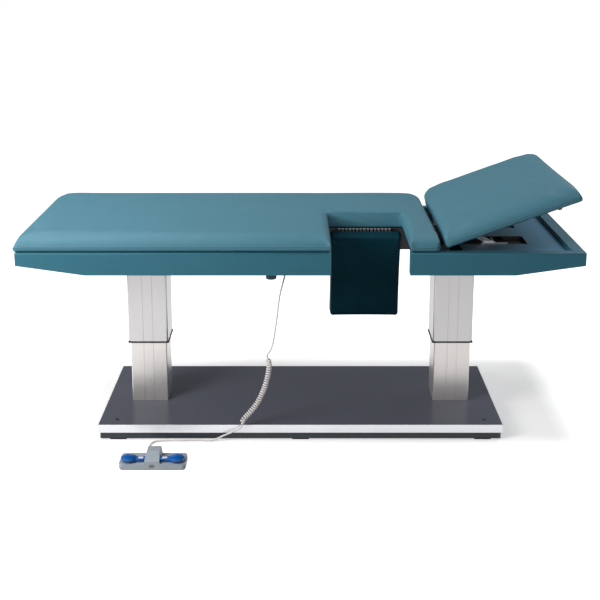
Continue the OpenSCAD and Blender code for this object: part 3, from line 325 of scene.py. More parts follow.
def material(name, base, vary=0.10, patch=5.0, rough=0.5, rough_vary=0.06, metal=0.0, spec=0.5,
             coat=0.0, coat_rough=0.1, leather=False, grain_scale=900.0, grain_depth=0.0001,
             stretch=(1, 1, 1), fleck=0.0, wear=0.0):
    """One procedural finish: broad colour drift, flecks, edge wear, grain and uneven gloss. Scales
    are per metre, and grain_depth is in metres."""
    mat = bpy.data.materials.new(name)
    t = Tree(mat)
    obj = t.node("TexCoord").outputs["Object"]
    base = Vector(base[:3])
    drift = t.node("TexNoise", {"Vector": obj, "Scale": patch, "Detail": 5.0, "Roughness": 0.6})
    ramp = t.node("ValToRGB", {0: drift.outputs[0]})
    dark, light = ramp.color_ramp.elements
    dark.position, light.position = DRIFT
    dark.color = (*(base * (1 - vary)), 1)
    light.color = (*[min(1, c * (1 + vary)) for c in base], 1)
    color = ramp.outputs[0]
    stretched = t.node("Mapping", {"Vector": obj, "Scale": stretch}).outputs[0]
    if fleck:
        dots = t.node("TexNoise", {"Vector": stretched, "Scale": FLECK_SCALE, "Detail": 2.0})
        share = t.node("MapRange", {0: dots.outputs[0], 1: FLECK_FROM, 2: FLECK_FULL, 3: 0.0, 4: fleck})
        pale = [min(1, c * 1.9 + 0.05) for c in base]
        color = t.node("MixRGB", {0: share.outputs[0], 1: color, 2: (*pale, 1)}).outputs[0]
    if wear:
        soft = t.node("Bevel", {"Radius": WORN_RADIUS}, samples=4)
        geo = t.node("NewGeometry")
        dot = t.node("VectorMath", {0: soft.outputs[0], 1: geo.outputs["Normal"]}, operation="DOT_PRODUCT")
        edge = t.node("MapRange", {0: dot.outputs["Value"], 1: WORN_FROM, 2: WORN_FULL, 3: 0.0, 4: wear})
        bare = [min(1, c * 1.7 + 0.03) for c in base]
        color = t.node("MixRGB", {0: edge.outputs[0], 1: color, 2: (*bare, 1)}).outputs[0]
    smear = t.node("TexNoise", {"Vector": stretched, "Scale": patch * 3, "Detail": 4.0})
    gloss = t.node("MapRange", {0: smear.outputs[0], 1: 0.3, 2: 0.7,
                                3: max(0.03, rough - rough_vary), 4: min(1, rough + rough_vary)})
    if leather:
        cells = t.node("TexVoronoi", {"Vector": stretched, "Scale": grain_scale},
                       feature="DISTANCE_TO_EDGE")
        height = t.node("MapRange", {0: cells.outputs[0], 1: 0.0, 2: CREASE, 3: 0.0, 4: 1.0})
        fine = t.node("TexNoise", {"Vector": obj, "Scale": grain_scale * PORES, "Detail": 3.0})
        height = t.node("Math", {0: height.outputs[0], 1: fine.outputs[0]}, operation="ADD")
    else:
        height = t.node("TexNoise", {"Vector": stretched, "Scale": grain_scale, "Detail": 4.0})
    bump = t.node("Bump", {"Height": height.outputs[0], "Strength": 1.0, "Distance": grain_depth})
    shader = t.node("BsdfPrincipled", {
        "Base Color": color, "Roughness": gloss.outputs[0], "Metallic": metal, "Specular IOR Level": spec,
        "Coat Weight": coat, "Coat Roughness": coat_rough, "Normal": bump.outputs[0]})
    t.node("OutputMaterial", {0: shader.outputs[0]})
    mat.diffuse_color = (*base, 1)
    return mat


def black_under_painted_highlight(name, dark, pale, height):
    """Black paint that gives way to pale lips above a height, in metres: the pale lips are a painted
    highlight on the rim.
    """
    mat = bpy.data.materials.new(name)
    t = Tree(mat)
    obj = t.node("TexCoord").outputs["Object"]
    rise = t.node("SeparateXYZ", {0: obj}).outputs[2]
    rough = t.node("TexNoise", {"Vector": obj, "Scale": 90.0, "Detail": 4.0})
    ragged = 0.0006
    line = t.node("Math", {0: rough.outputs[0], 1: ragged, 2: height}, operation="MULTIPLY_ADD")
    # Above the ragged line: the painted highlight.
    share = t.node("Math", {0: rise, 1: line.outputs[0]}, operation="GREATER_THAN")
    grit = t.node("TexNoise", {"Vector": obj, "Scale": 1200.0, "Detail": 3.0})
    tone = t.node("MixRGB", {0: grit.outputs[0], 1: dark, 2: tuple(min(1, c * 1.6) for c in dark[:3]) + (1,)})
    color = t.node("MixRGB", {0: share.outputs[0], 1: tone.outputs[0], 2: pale})
    bump = t.node("Bump", {"Height": grit.outputs[0], "Strength": 1.0, "Distance": 0.00008})
    shader = t.node("BsdfPrincipled", {"Base Color": color.outputs[0], "Roughness": 0.5,
                                       "Metallic": 0.0, "Normal": bump.outputs[0]})
    t.node("OutputMaterial", {0: shader.outputs[0]})
    return mat


def banded(name, metal, join_shade, start, pitch, share):
    """Steel knuckles in a row along X, with painted shade in the joins between them, which take up a share of
    the pitch.
    """
    mat = bpy.data.materials.new(name)
    t = Tree(mat)
    obj = t.node("TexCoord").outputs["Object"]
    along = t.node("SeparateXYZ", {0: obj}).outputs[0]
    steps = t.node("Math", {0: along, 1: start}, operation="SUBTRACT")
    turn = t.node("Math", {0: steps.outputs[0], 1: pitch}, operation="DIVIDE")
    part = t.node("Math", {0: turn.outputs[0]}, operation="FRACT")
    # The last share of each pitch gets the painted shade between knuckles.
    dark = t.node("Math", {0: part.outputs[0], 1: 1 - share}, operation="GREATER_THAN")
    brush = t.node("TexNoise", {"Vector": obj, "Scale": 700.0, "Detail": 4.0})
    tone = t.node("MixRGB", {0: brush.outputs[0], 1: metal, 2: tuple(c * 0.7 for c in metal[:3]) + (1,)})
    color = t.node("MixRGB", {0: dark.outputs[0], 1: tone.outputs[0], 2: join_shade})
    rough = t.node("MapRange", {0: brush.outputs[0], 3: 0.35, 4: 0.55})
    bump = t.node("Bump", {"Height": brush.outputs[0], "Strength": 1.0, "Distance": 0.00005})
    shader = t.node("BsdfPrincipled", {"Base Color": color.outputs[0], "Roughness": rough.outputs[0],
                                       "Metallic": 0.6, "Normal": bump.outputs[0]})
    t.node("OutputMaterial", {0: shader.outputs[0]})
    return mat


# Glue lines and layers of plywood, and its fibres, as colours from dark to light
LAYERS = (0.28, 0.16, 0.07, 1), (0.58, 0.39, 0.20, 1)
FIBRES = (0.72, 0.66, 0.58, 1), (1, 1, 1, 1)


def plywood(name):
    """Bare birch ply, with its layers across Z."""
    mat = bpy.data.materials.new(name)
    t = Tree(mat)
    obj = t.node("TexCoord").outputs["Object"]
    ply = t.node("TexWave", {"Vector": obj, "Scale": 95.0, "Distortion": 0.6, "Detail": 2.0},
                 bands_direction="Z")
    fibre = t.node("Mapping", {"Vector": obj, "Scale": (4, 60, 60)})
    streak = t.node("TexNoise", {"Vector": fibre.outputs[0], "Scale": 5.0, "Detail": 6.0})
    tones = []
    for pattern, colors in ((ply, LAYERS), (streak, FIBRES)):
        ramp = t.node("ValToRGB", {0: pattern.outputs[0]})
        for stop, color in zip(ramp.color_ramp.elements, colors):
            stop.color = color
        tones.append(ramp.outputs[0])
    mixed = t.node("MixRGB", {0: 1.0, 1: tones[0], 2: tones[1]}, blend_type="MULTIPLY")
    bump = t.node("Bump", {"Height": streak.outputs[0], "Strength": 1.0, "Distance": 0.0003})
    shader = t.node("BsdfPrincipled", {"Base Color": mixed.outputs[0], "Roughness": 0.62,
                                       "Normal": bump.outputs[0]})
    t.node("OutputMaterial", {0: shader.outputs[0]})
    return mat


MATS = {
    "vinyl_top": material("vinyl_top", rgb((70, 124, 142)), vary=0.025, patch=3.0, rough=0.42,
                          rough_vary=0.03, spec=0.3, leather=True, grain_scale=620,
                          grain_depth=0.00016),
    # Painted shade: the flap's vinyl is the tops' vinyl made far darker, to stand in for the shade on its
    # hanging face.
    "vinyl_flap": material("vinyl_flap", rgb((9, 52, 64)), vary=0.25, patch=4.0, rough=0.5, spec=0.05,
                           leather=True, grain_scale=620, grain_depth=0.00014),
    # Painted shade: the same vinyl as the tops, made darker to stand in for the shade on the rails' sides.
    "vinyl_rail": material("vinyl_rail", rgb((50, 110, 129)), vary=0.03, patch=4.0, rough=0.46, spec=0.25,
                           leather=True, grain_scale=620, grain_depth=0.00014),
    "plywood": plywood("plywood"),
    "laminate": material("laminate", rgb((88, 90, 104)), vary=0.015, patch=2.5, rough=0.26, rough_vary=0.01,
                         spec=0.2, grain_scale=1800, grain_depth=0.00001),
    "base_core": material("base_core", rgb((70, 66, 62)), rough=0.7, grain_scale=600,
                          grain_depth=0.0002, fleck=0.3),
    "edge_band": material("edge_band", rgb((232, 233, 238)), vary=0.02, patch=6.0, rough=0.36, metal=0.55,
                          grain_scale=60, grain_depth=0.00002, stretch=(1, 1, 30), wear=0.2),
    "plinth": material("plinth", rgb((34, 44, 50)), vary=0.12, patch=7.0, rough=0.42, grain_scale=500,
                       grain_depth=0.00005, wear=0.35),
    "rubber": material("rubber", rgb((26, 26, 27)), vary=0.15, patch=30.0, rough=0.78, grain_scale=1500,
                       grain_depth=0.00012, spec=0.3),
    "profile": material("profile", rgb((185, 183, 184)), vary=0.03, patch=3.0, rough=0.34, rough_vary=0.02,
                        metal=0.72, grain_scale=14, grain_depth=0.00005, stretch=(90, 90, 1.2)),
    "profile_low": material("profile_low", rgb((202, 198, 196)), vary=0.02, patch=3.0, rough=0.32,
                            rough_vary=0.01, metal=0.72, grain_scale=14, grain_depth=0.00001,
                            stretch=(90, 90, 1.2)),
    "black_frame": material("black_frame", rgb((24, 26, 30)), vary=0.12, rough=0.5, metal=0.2,
                            grain_scale=1200, grain_depth=0.00008, wear=0.3),
    "frame_steel": material("frame_steel", rgb((30, 31, 34)), vary=0.12, rough=0.55,
                            grain_scale=1300, grain_depth=0.00010, wear=0.35),
    "tube_steel": material("tube_steel", rgb((118, 120, 124)), vary=0.10, rough=0.42, metal=0.7,
                           grain_scale=700, grain_depth=0.00006),
    "bright_steel": material("bright_steel", rgb((196, 197, 200)), vary=0.05, patch=20.0, rough=0.26,
                             metal=1.0, grain_scale=40, grain_depth=0.00003, stretch=(1, 30, 30)),
    "bronze": material("bronze", rgb((188, 152, 86)), vary=0.10, patch=30.0, rough=0.35, metal=1.0,
                       grain_scale=900, grain_depth=0.00004),
    "glide": material("glide", rgb((228, 228, 220)), vary=0.03, rough=0.4, grain_scale=900,
                      grain_depth=0.00003),
    "motor": material("motor", rgb((48, 50, 53)), vary=0.15, patch=25.0, rough=0.6, grain_scale=420,
                      grain_depth=0.00025, wear=0.3),
    "black_plastic": material("black_plastic", rgb((26, 27, 30)), vary=0.10, patch=30.0, rough=0.42,
                              grain_scale=1500, grain_depth=0.00007),
    "box_plastic": material("box_plastic", rgb((50, 52, 56)), vary=0.06, patch=10.0, rough=0.5,
                            grain_scale=1400, grain_depth=0.00010),
    # Partly painted light: the tray's blue is made lighter to make up for the shade that the backrest casts
    # on it.
    "tray": material("tray", rgb((74, 134, 168)), vary=0.04, patch=6.0, rough=0.42, rough_vary=0.03,
                     spec=0.2, grain_scale=1100, grain_depth=0.00007, wear=0.25),
    "cord": material("cord", rgb((238, 234, 232)), vary=0.04, patch=30.0, rough=0.42,
                     grain_scale=1600, grain_depth=0.00003),
    "switch_grey": material("switch_grey", rgb((164, 173, 183)), vary=0.04, patch=25.0, rough=0.46,
                            grain_scale=1600, grain_depth=0.00008, wear=0.15),
    "pedal_blue": material("pedal_blue", rgb((4, 92, 172)), vary=0.08, patch=30.0, rough=0.2,
                           rough_vary=0.04, coat=0.05, coat_rough=0.05, spec=0.25, grain_scale=500,
                           grain_depth=0.00002),
}
# The hinge's dark bands are painted shade between its knuckles.
MATS["hinge"] = banded("hinge", rgb((128, 132, 136)), rgb((24, 27, 30)), start=0.1385, pitch=0.0132,
                       share=0.36)
# Painted reflection: the knob is dark, and its teal tint stands in for the teal vinyl that it reflects.
MATS["knob"] = material("knob", rgb((18, 62, 75)), vary=0.08, patch=30.0, rough=0.4, spec=0.3,
                        grain_scale=1500, grain_depth=0.00007)
# The well's pale lips are a painted highlight on the slot's rim.
MATS["well"] = black_under_painted_highlight("well", rgb((14, 14, 16)), rgb((176, 182, 188)), height=0.6948)
MATS["label"] = material("label", rgb((232, 235, 238)), vary=0.03, patch=60.0, rough=0.4,
                         grain_scale=1500, grain_depth=0.00003)
MATS["badge"] = material("badge", rgb((122, 117, 110)), vary=0.06, patch=60.0, rough=0.45,
                         grain_scale=1500, grain_depth=0.00003)
OWN = {"flap_fixed_leaf": "hinge", "flap_leaf": "hinge", "support_knob": "knob",
       "column_left_inner": "profile_low", "column_right_inner": "profile_low"}
# Nodes that a piece of the scene replaces
SOFT = {"mattress", "backrest_pad", "flap_pad", "cord_upper", "cord_curl", "cord_lower"}


def dress(obj, finish):
    """Gives a piece of the scene its finish."""
    obj.data.materials.clear()
    obj.data.materials.append(MATS[finish])


dress(cord, "cord")

# Widths of the fine bevels on the CAD's edges, in millimetres, and the angle from which they start
EDGE_WIDTH, EDGE_ANGLE, WELD = 0.5, math.radians(34), 1e-5
EDGE = {"front_rail_foot": 2.0, "front_rail_head": 2.0, "back_rail": 2.0, "foot_end_rail": 1.5,
        "head_end_rail": 1.5, "base_laminate": 0.3, "base_edge_band": 0.25, "slot_lips": 0.25,
        "head_tray": 0.6, "switch_shell": 1.2, "switch_cover": 1.6, "pedal_up": 0.8, "pedal_down": 0.8,
        "support_knob": 0.6, "wiper_rings": 1.0, "mattress_board": 0.8, "backrest_board": 0.8,
        "flap_board": 0.8, "prop_bars": 0.8}
for name, obj in NODES.items():
    for i in range(len(obj.material_slots)):
        obj.material_slots[i].material = MATS[OWN.get(name, SLOT_OF[name])]
    if name in SOFT:
        continue
    weld = obj.modifiers.new("weld", "WELD")
    weld.merge_threshold = WELD
    bev = obj.modifiers.new("bevel", "BEVEL")
    bev.width = EDGE.get(name, EDGE_WIDTH) * MM
    bev.segments = 2
    bev.limit_method = "ANGLE"
    bev.angle_limit = EDGE_ANGLE
    bev.harden_normals = True
    bev.use_clamp_overlap = True


# Cushions. Measures are in millimetres, and a cushion is made level, before it is turned on its hinge.
BOTTOM_ROUND = 7.0
WALL_ROWS = 4
# On a rounded edge: points per length, and the fewest and the most of them
ROUND_STEP, ROUND_FEWEST, ROUND_MOST = 4, 3, 9
# The board's outline has a row of points on both sides of it, this far apart, and other rows keep clear
LIP, CLEAR, HAIR = 1, 2.5, 0.1
# What keeps a division by zero away
TINY, NO_WEIGHT = 1e-6, 1e-9


def quarter(d, w):
    """A quarter circle's rise, from 0 at the edge to 1 at the distance w."""
    t = np.clip(d / w, 0, 1)
    return np.sqrt(1 - (1 - t) ** 2)


def bow(t, ends):
    """A parabola, with 1 in the middle between the ends and 0 at them."""
    return 1 - ((t - sum(ends) / 2) / ((ends[1] - ends[0]) / 2)) ** 2


def round_stations(w):
    """Distances from the edge, closer together near it, over a rounded width."""
    n = int(np.clip(w / ROUND_STEP, ROUND_FEWEST, ROUND_MOST))
    return [w * (1 - math.cos(math.pi / 2 * k / n)) for k in range(n + 1)] if w else [0]


def stations(a, b, wide_a, wide_b, step, keep=()):
    """Places from a to b, closer together over the rounded widths at both ends."""
    left = [a + v for v in round_stations(wide_a)]
    right = [b - v for v in round_stations(wide_b)][::-1]
    n = max(1, round((right[0] - left[-1]) / step))
    mid = [left[-1] + (right[0] - left[-1]) * i / n for i in range(1, n)]
    mid = [v for v in mid if all(abs(v - k) > CLEAR for k in keep)]
    keep = [k for k in keep if left[-1] + LIP < k < right[0] - LIP]
    return left + sorted(mid + keep) + right


def cushion_rows(x, y, sides, inset, step, cut, cut_sides):
    """Places along X and Y, and the numbers of the rows at the window's left, right and back edges."""
    lips_x = (x[0] + inset - LIP, x[0] + inset, x[1] - inset, x[1] - inset + LIP)
    lips_y = (y[0] + inset - LIP, y[0] + inset, y[1] - inset, y[1] - inset + LIP)
    if not cut:
        xs = stations(x[0], x[1], sides[0][0], sides[1][0], step, lips_x)
        return xs, stations(y[0], y[1], sides[2][0], sides[3][0], step, lips_y), None
    left, right, back = cut
    lips_x += (left - inset, left - inset + LIP, right + inset - LIP, right + inset)
    lips_y += (back + inset - LIP, back + inset)
    xs = stations(x[0], left, sides[0][0], cut_sides[0][0], step, lips_x)
    first = len(xs) - 1
    xs += stations(left, right, 0, 0, step)[1:-1]
    second = len(xs)
    xs += stations(right, x[1], cut_sides[1][0], sides[1][0], step, lips_x)
    ys = stations(y[0], back, sides[2][0], 0, step, lips_y)
    third = len(ys) - 1
    ys += stations(back, y[1], cut_sides[2][0], sides[3][0], step, lips_y)[1:]
    return xs, ys, (first, second, third)


def rounded_edges(X, Y, x, y, sides, cut, cut_sides):
    """The rise and height of each rounded edge, and the rise of the rounded bottom edge."""
    away = [X - x[0], x[1] - X, Y - y[0], y[1] - Y]
    edges = [(quarter(d, w), h) for d, (w, h) in zip(away, sides)]
    under = np.ones_like(X)
    for d in away:
        under = under * quarter(d, BOTTOM_ROUND)
    if cut:
        dx = np.maximum(np.maximum(cut[0] - X, X - cut[1]), 0)
        dy = np.maximum(Y - cut[2], 0)
        reach = np.hypot(dx, dy)
        lean = np.where(reach > 0, dy / np.maximum(reach, TINY), 0) ** 2
        left = X < (cut[0] + cut[1]) / 2
        wide = np.where(left, cut_sides[0][0], cut_sides[1][0]) * (1 - lean) + cut_sides[2][0] * lean
        tall = np.where(left, cut_sides[0][1], cut_sides[1][1]) * (1 - lean) + cut_sides[2][1] * lean
        edges.append((quarter(reach, wide), tall))
        under = under * quarter(reach, BOTTOM_ROUND)
    return edges, under


def over_board(X, Y, x, y, inset, cut):
    """True over the board, where the pad's bottom is its pocket."""
    inside = (X >= x[0] + inset - HAIR) & (X <= x[1] - inset + HAIR)
    inside &= (Y >= y[0] + inset - HAIR) & (Y <= y[1] - inset + HAIR)
    if cut:
        inside &= ~((X > cut[0] - inset + HAIR) & (X < cut[1] + inset - HAIR)
                    & (Y < cut[2] + inset - HAIR))
    return inside


def plan(X, Y, x, y, corners, draw, cut):
    """The points in plan, with round corners and sides that are drawn in between them."""
    PX, PY = X.copy(), Y.copy()
    for ix, sx in ((0, 1), (1, -1)):
        for iy, sy in ((0, 1), (1, -1)):
            rc = corners[iy * 2 + ix]
            cx, cy = x[ix] + sx * rc, y[iy] + sy * rc
            u, v = (cx - X) * sx / rc, (cy - Y) * sy / rc
            hit = (u > 0) & (v > 0)
            PX = np.where(hit, cx - sx * rc * u * np.sqrt(np.clip(1 - v * v / 2, 0, 1)), PX)
            PY = np.where(hit, cy - sy * rc * v * np.sqrt(np.clip(1 - u * u / 2, 0, 1)), PY)
    bx, by = bow(PX, x), bow(PY, y)
    if not cut:
        PX = PX - draw * (PX - sum(x) / 2) / ((x[1] - x[0]) / 2) * by
    PY = PY - draw * (PY - sum(y) / 2) / ((y[1] - y[0]) / 2) * bx
    return PX, PY


def outline(nx, ny, window):
    """The points round the edge, in order, from low X and low Y towards high X."""
    loop = [(i, 0) for i in range(nx - 1)]
    if window:
        first, second, third = window
        loop = [(i, 0) for i in range(first)] + [(first, j) for j in range(third)] \
            + [(i, third) for i in range(first, second)] + [(second, j) for j in range(third, 0, -1)] \
            + [(i, 0) for i in range(second, nx - 1)]
    return loop + [(nx - 1, j) for j in range(ny - 1)] + [(i, ny - 1) for i in range(nx - 1, 0, -1)] \
        + [(0, j) for j in range(ny - 1, 0, -1)]


def skin(name, PX, PY, top, low, bulge, window):
    """A closed mesh: top, bottom, and walls between them that swell by the bulge."""
    nx, ny = PX.shape
    hole = np.zeros_like(PX, bool)
    if window:
        first, second, third = window
        hole[first + 1:second, :third] = True
    verts, faces, index = [], [], {}

    def put(key, px, py, pz):
        index[key] = len(verts)
        verts.append((px * MM, py * MM, pz * MM))

    for layer, Z in enumerate((top, low)):
        for i in range(nx):
            for j in range(ny):
                if not hole[i, j]:
                    put((layer, i, j), PX[i, j], PY[i, j], Z[i, j])
    loop = outline(nx, ny, window)
    n = len(loop)
    for k, (i, j) in enumerate(loop):
        a, b = loop[k - 1], loop[(k + 1) % n]
        tx, ty = PX[b] - PX[a], PY[b] - PY[a]
        size = math.hypot(tx, ty)
        for r in range(1, WALL_ROWS):
            down = r / WALL_ROWS
            swell = bulge * math.sin(math.pi * down) / size
            put(("wall", r, k), PX[i, j] + ty * swell, PY[i, j] - tx * swell,
                top[i, j] + (low[i, j] - top[i, j]) * down)

    def at_wall(r, k):
        if r == 0:
            return index[(0, *loop[k % n])]
        return index[(1, *loop[k % n])] if r == WALL_ROWS else index["wall", r, k % n]

    for k in range(n):
        for r in range(WALL_ROWS):
            faces.append((at_wall(r, k), at_wall(r + 1, k), at_wall(r + 1, k + 1), at_wall(r, k + 1)))
    for i in range(nx - 1):
        for j in range(ny - 1):
            if window and first <= i < second and j < third:
                continue
            ring = ((i, j), (i + 1, j), (i + 1, j + 1), (i, j + 1))
            faces.append(tuple(index[(0, *q)] for q in ring))
            faces.append(tuple(index[(1, *q)] for q in ring[::-1]))
    return add(name, verts, faces)


def cushion(name, x, y, z, sides, corners, crown, draw, bulge, pocket, inset, step, cut=None,
            cut_sides=None, tuck=(BOTTOM_ROUND, BOTTOM_ROUND)):
    """A padded top over a board.

    sides: width and height of the rounded top edge at low X, high X, low Y and high Y
    corners: radii in plan at low X and low Y, high X and low Y, low X and high Y, high X and high Y
    crown, draw, bulge: rise of the middle, drawing-in of the sides' middles, swell of the walls
    pocket, inset: depth of the board's pocket under the pad, and its distance from the edges
    step: spacing of the points between the rounded edges
    cut: a window open to low Y, with its left, right and back edges; cut_sides: as sides, for these
    tuck: width and height by which the bottom edge at low Y is drawn up
    """
    xs, ys, window = cushion_rows(x, y, sides, inset, step, cut, cut_sides)
    X, Y = np.meshgrid(np.array(xs), np.array(ys), indexing="ij")
    edges, under = rounded_edges(X, Y, x, y, sides, cut, cut_sides)
    share = np.ones_like(X)
    weight = np.full_like(X, NO_WEIGHT)
    height = np.zeros_like(X)
    for q, h in edges:
        share = share * q
        weight = weight + (1 - q)
        height = height + (1 - q) * h
    top = z[1] - height / weight * (1 - share)
    top = top + crown * (bow(X, x) * bow(Y, y) - 1) * share
    tucked = tuck[1] * (1 - quarter(Y - y[0], tuck[0]))
    rise = np.maximum(BOTTOM_ROUND * (1 - under), tucked)
    low = np.where(over_board(X, Y, x, y, inset, cut), z[0] + pocket, z[0] + rise)
    PX, PY = plan(X, Y, x, y, corners, draw, cut)
    return skin(name, PX, PY, top, low, bulge, window)


# Cloth: frames, the pressure that fills a cushion, and how far above its pocket a cushion is held
FRAMES, PRESSURE, HELD_ABOVE = 20, 4.0, 0.2
CLOTH = {"use_pressure": True, "uniform_pressure_force": PRESSURE, "vertex_group_mass": "pin", "mass": 0.3,
         "quality": 4, "tension_stiffness": 20, "compression_stiffness": 20, "bending_stiffness": 2.0}


def plump(obj, cap, pocket):
    """Fills the cushion: cloth that is held at the board and moves by the cap at most, and one
    subdivision."""
    n = len(obj.data.vertices)
    rest = np.zeros(n * 3)
    obj.data.vertices.foreach_get("co", rest)
    rest = rest.reshape(-1, 3)
    group = obj.vertex_groups.new(name="pin")
    held = rest[:, 2] < (BOTTOM + pocket + HELD_ABOVE) * MM
    group.add([int(i) for i in np.nonzero(held)[0]], 1.0, "REPLACE")
    cloth = obj.modifiers.new("cloth", "CLOTH")
    for setting, value in CLOTH.items():
        setattr(cloth.settings, setting, value)
    cloth.settings.effector_weights.gravity = 0
    scene.frame_start, scene.frame_end = 1, FRAMES
    for frame_no in range(1, FRAMES + 1):
        scene.frame_set(frame_no)
    dg = bpy.context.evaluated_depsgraph_get()
    puffed = np.zeros(n * 3)
    obj.evaluated_get(dg).data.vertices.foreach_get("co", puffed)
    move = puffed.reshape(-1, 3) - rest
    size = np.linalg.norm(move, axis=1, keepdims=True)
    move *= np.minimum(1, cap * MM / np.maximum(size, NO_WEIGHT))
    obj.modifiers.remove(cloth)
    obj.data.vertices.foreach_set("co", (rest + move).ravel())
    obj.data.update()
    scene.frame_set(1)
    obj.vertex_groups.clear()
    obj.modifiers.new("soften", "SUBSURF").render_levels = 1
    bpy.context.view_layer.objects.active = obj
    obj.select_set(True)
    bpy.ops.object.modifier_apply(modifier="soften")
    obj.select_set(False)
    obj.data.polygons.foreach_set("use_smooth", [True] * len(obj.data.polygons))


def turn_about(obj, point, angle, axis):
    """Turns a level cushion into its place at rest."""
    there, back = Matrix.Translation(point), Matrix.Translation([-v for v in point])
    obj.data.transform(there @ Matrix.Rotation(angle, 4, axis) @ back)
    obj.data.update()


def finish_cushion(obj, node, body, slot_name):
    """A cushion that takes its node's place, on its body and with its slot's finish."""
    dress(obj, slot_name)
    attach(obj, body)
    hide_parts(node)


# A cushion is drawn a little smaller than its node, because the cloth fills it again
SHRINK = 1.5
BOTTOM, TOP, FLAP_TOP = 714.3, 775, 776
MATTRESS_X, MATTRESS_Y = (-974, 475), (-372, 372)
WINDOW_LEFT, WINDOW_RIGHT, WINDOW_BACK = 103, 372, -10
BACKREST_X, BACKREST_Y = (505, 988), (-370, 370)
FLAP_X, FLAP_Y = (107.5, 369.5), (-350, -18)
# Rounded edges, as width and height, and corner radii
FOOT, MEETING, NEAR, HEAD = (30, 44), (17, 24), (18, 20), (12, 26)
FRONT, BACK = (78, 41), (13, 12)
WINDOW_SIDES = (20, 17), (15, 13), (5, 5)
MATTRESS_CORNERS, BACKREST_CORNERS = (16, 20, 98, 96), (18, 12, 100, 102)
FLAP_SIDES, FLAP_CORNERS = ((9, 9), (9, 9), (10, 10), (9, 9)), (14, 14, 12, 12)
# Tucked bottom of the long front side
TUCK = (13, 18)
PAD = {"crown": 5, "draw": 3, "bulge": 2.0, "pocket": 16, "inset": 30, "step": 12, "tuck": TUCK}
THIN_PAD = {"crown": 4, "draw": 1.5, "bulge": 1.5, "pocket": 10, "inset": 13, "step": 9}
# How far the cloth may move
PAD_CAP, THIN_CAP = 3, 2.5
# Pivots, in metres, and angles at rest
BACKREST_PIVOT, REST_TILT = (0.466, 0, 0.690), math.radians(20)
FLAP_PIN, FLAP_HANG = (0, -0.016, 0.7103), math.radians(101)


def shrunk(ends):
    """The two ends, drawn in by SHRINK."""
    return ends[0] + SHRINK, ends[1] - SHRINK


mattress = cushion(
    "mattress_cushion", shrunk(MATTRESS_X), shrunk(MATTRESS_Y), (BOTTOM, TOP),
    sides=(FOOT, MEETING, FRONT, BACK), corners=MATTRESS_CORNERS,
    cut=(WINDOW_LEFT - SHRINK, WINDOW_RIGHT + SHRINK, WINDOW_BACK + SHRINK),
    cut_sides=WINDOW_SIDES, **PAD)
plump(mattress, PAD_CAP, PAD["pocket"])
finish_cushion(mattress, "mattress", "table", "vinyl_top")

back_pad = cushion(
    "backrest_cushion", shrunk(BACKREST_X), shrunk(BACKREST_Y), (BOTTOM, TOP),
    sides=(NEAR, HEAD, FRONT, BACK), corners=BACKREST_CORNERS, **PAD)
plump(back_pad, PAD_CAP, PAD["pocket"])
turn_about(back_pad, BACKREST_PIVOT, -REST_TILT, "Y")
finish_cushion(back_pad, "backrest_pad", "backrest", "vinyl_top")
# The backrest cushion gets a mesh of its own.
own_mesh(back_pad)

flap = cushion(
    "flap_cushion", shrunk(FLAP_X), shrunk(FLAP_Y), (BOTTOM, FLAP_TOP),
    sides=FLAP_SIDES, corners=FLAP_CORNERS, **THIN_PAD)
plump(flap, THIN_CAP, THIN_PAD["pocket"])
turn_about(flap, FLAP_PIN, FLAP_HANG, "X")
# The flap wears the darkened vinyl, which is painted shade.
finish_cushion(flap, "flap_pad", "flap", "vinyl_flap")


# Small trim: bare plates on the foot control, in metres
PLATE_CORNER, PLATE_EDGE, PLATE_EDGE_SHARE = 0.001, 0.0003, 0.4
CONTROL_X, PEDAL_SPREAD, PEDAL_PLATE_Y, PEDAL_PLATE_Z = -0.501, 0.0405, -0.509, 0.0351
FRONT_PLATE_Y, FRONT_PLATE_Z = -0.53215, 0.014
PEDAL_PLATE, FRONT_PLATE = (0.017, 0.014, 0.0006), (0.015, 0.0095, 0.0006)
UP = Vector((0, 0, 1))


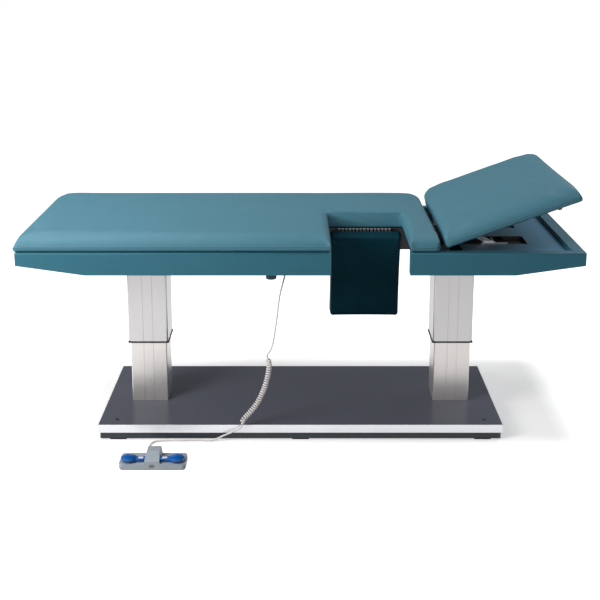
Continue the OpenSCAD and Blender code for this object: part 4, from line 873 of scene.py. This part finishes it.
def plate(name, centre, size, finish, body, facing=UP):
    """A thin, round-edged bare plate on the foot control."""
    mesh = bpy.data.meshes.new(name)
    bm = bmesh.new()
    bmesh.ops.create_cube(bm, size=1.0)
    bmesh.ops.scale(bm, vec=size, verts=bm.verts)
    upright = [e for e in bm.edges if abs((e.verts[0].co - e.verts[1].co).normalized().z) > 0.9]
    bmesh.ops.bevel(bm, geom=upright, offset=PLATE_CORNER, segments=4, affect="EDGES")
    top = [e for e in bm.edges if e.verts[0].co.z > 0 and e.verts[1].co.z > 0]
    bmesh.ops.bevel(bm, geom=top, offset=min(size[2] * PLATE_EDGE_SHARE, PLATE_EDGE), segments=2,
                     affect="EDGES")
    bm.to_mesh(mesh)
    bm.free()
    obj = bpy.data.objects.new(name, mesh)
    scene.collection.objects.link(obj)
    obj.matrix_world = Matrix.Translation(centre) @ facing.to_track_quat("Z", "Y").to_matrix().to_4x4()
    dress(obj, finish)
    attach(obj, body)


for side, body in ((-1, "raise_pedal"), (1, "lower_pedal")):
    middle = Vector((CONTROL_X + side * PEDAL_SPREAD, PEDAL_PLATE_Y, PEDAL_PLATE_Z))
    plate("pedal_plate_%s" % body, middle, PEDAL_PLATE, "label", body)
plate("front_plate", Vector((CONTROL_X, FRONT_PLATE_Y, FRONT_PLATE_Z)), FRONT_PLATE, "badge", "base", FORWARD)

# Channel under the tray, round the prop's rod, in millimetres: so no floor shows through its notches
CHANNEL_X, CHANNEL_Y, CHANNEL_Z, CHANNEL_T = (639, 736), (-63, 63), (680.2, 693.6), 0.8
CHANNEL_EDGE = 0.3


def channel(name, x, y, z, t, slot_name, body):
    """A folded sheet channel of the thickness t, open at the top, along Y, in millimetres."""
    prof = [(x[0], z[1]), (x[0], z[0]), (x[1], z[0]), (x[1], z[1]), (x[1] - t, z[1]), (x[1] - t, z[0] + t),
            (x[0] + t, z[0] + t), (x[0] + t, z[1])]
    verts = [(px * MM, py * MM, pz * MM) for py in y for px, pz in prof]
    n = len(prof)
    faces = [(k, (k + 1) % n, (k + 1) % n + n, k + n) for k in range(n)]
    faces += [(0, 1, 6, 7), (1, 2, 5, 6), (2, 3, 4, 5)]
    faces += [(n + 7, n + 6, n + 1, n), (n + 6, n + 5, n + 2, n + 1), (n + 5, n + 4, n + 3, n + 2)]
    obj = add(name, verts, faces, False)
    mesh = bmesh.new()
    mesh.from_mesh(obj.data)
    bmesh.ops.recalc_face_normals(mesh, faces=mesh.faces)
    mesh.to_mesh(obj.data)
    mesh.free()
    bev = obj.modifiers.new("bevel", "BEVEL")
    bev.width = CHANNEL_EDGE * MM
    bev.limit_method = "ANGLE"
    dress(obj, slot_name)
    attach(obj, body)


channel("rod_channel", CHANNEL_X, CHANNEL_Y, CHANNEL_Z, CHANNEL_T, "frame_steel", "table")
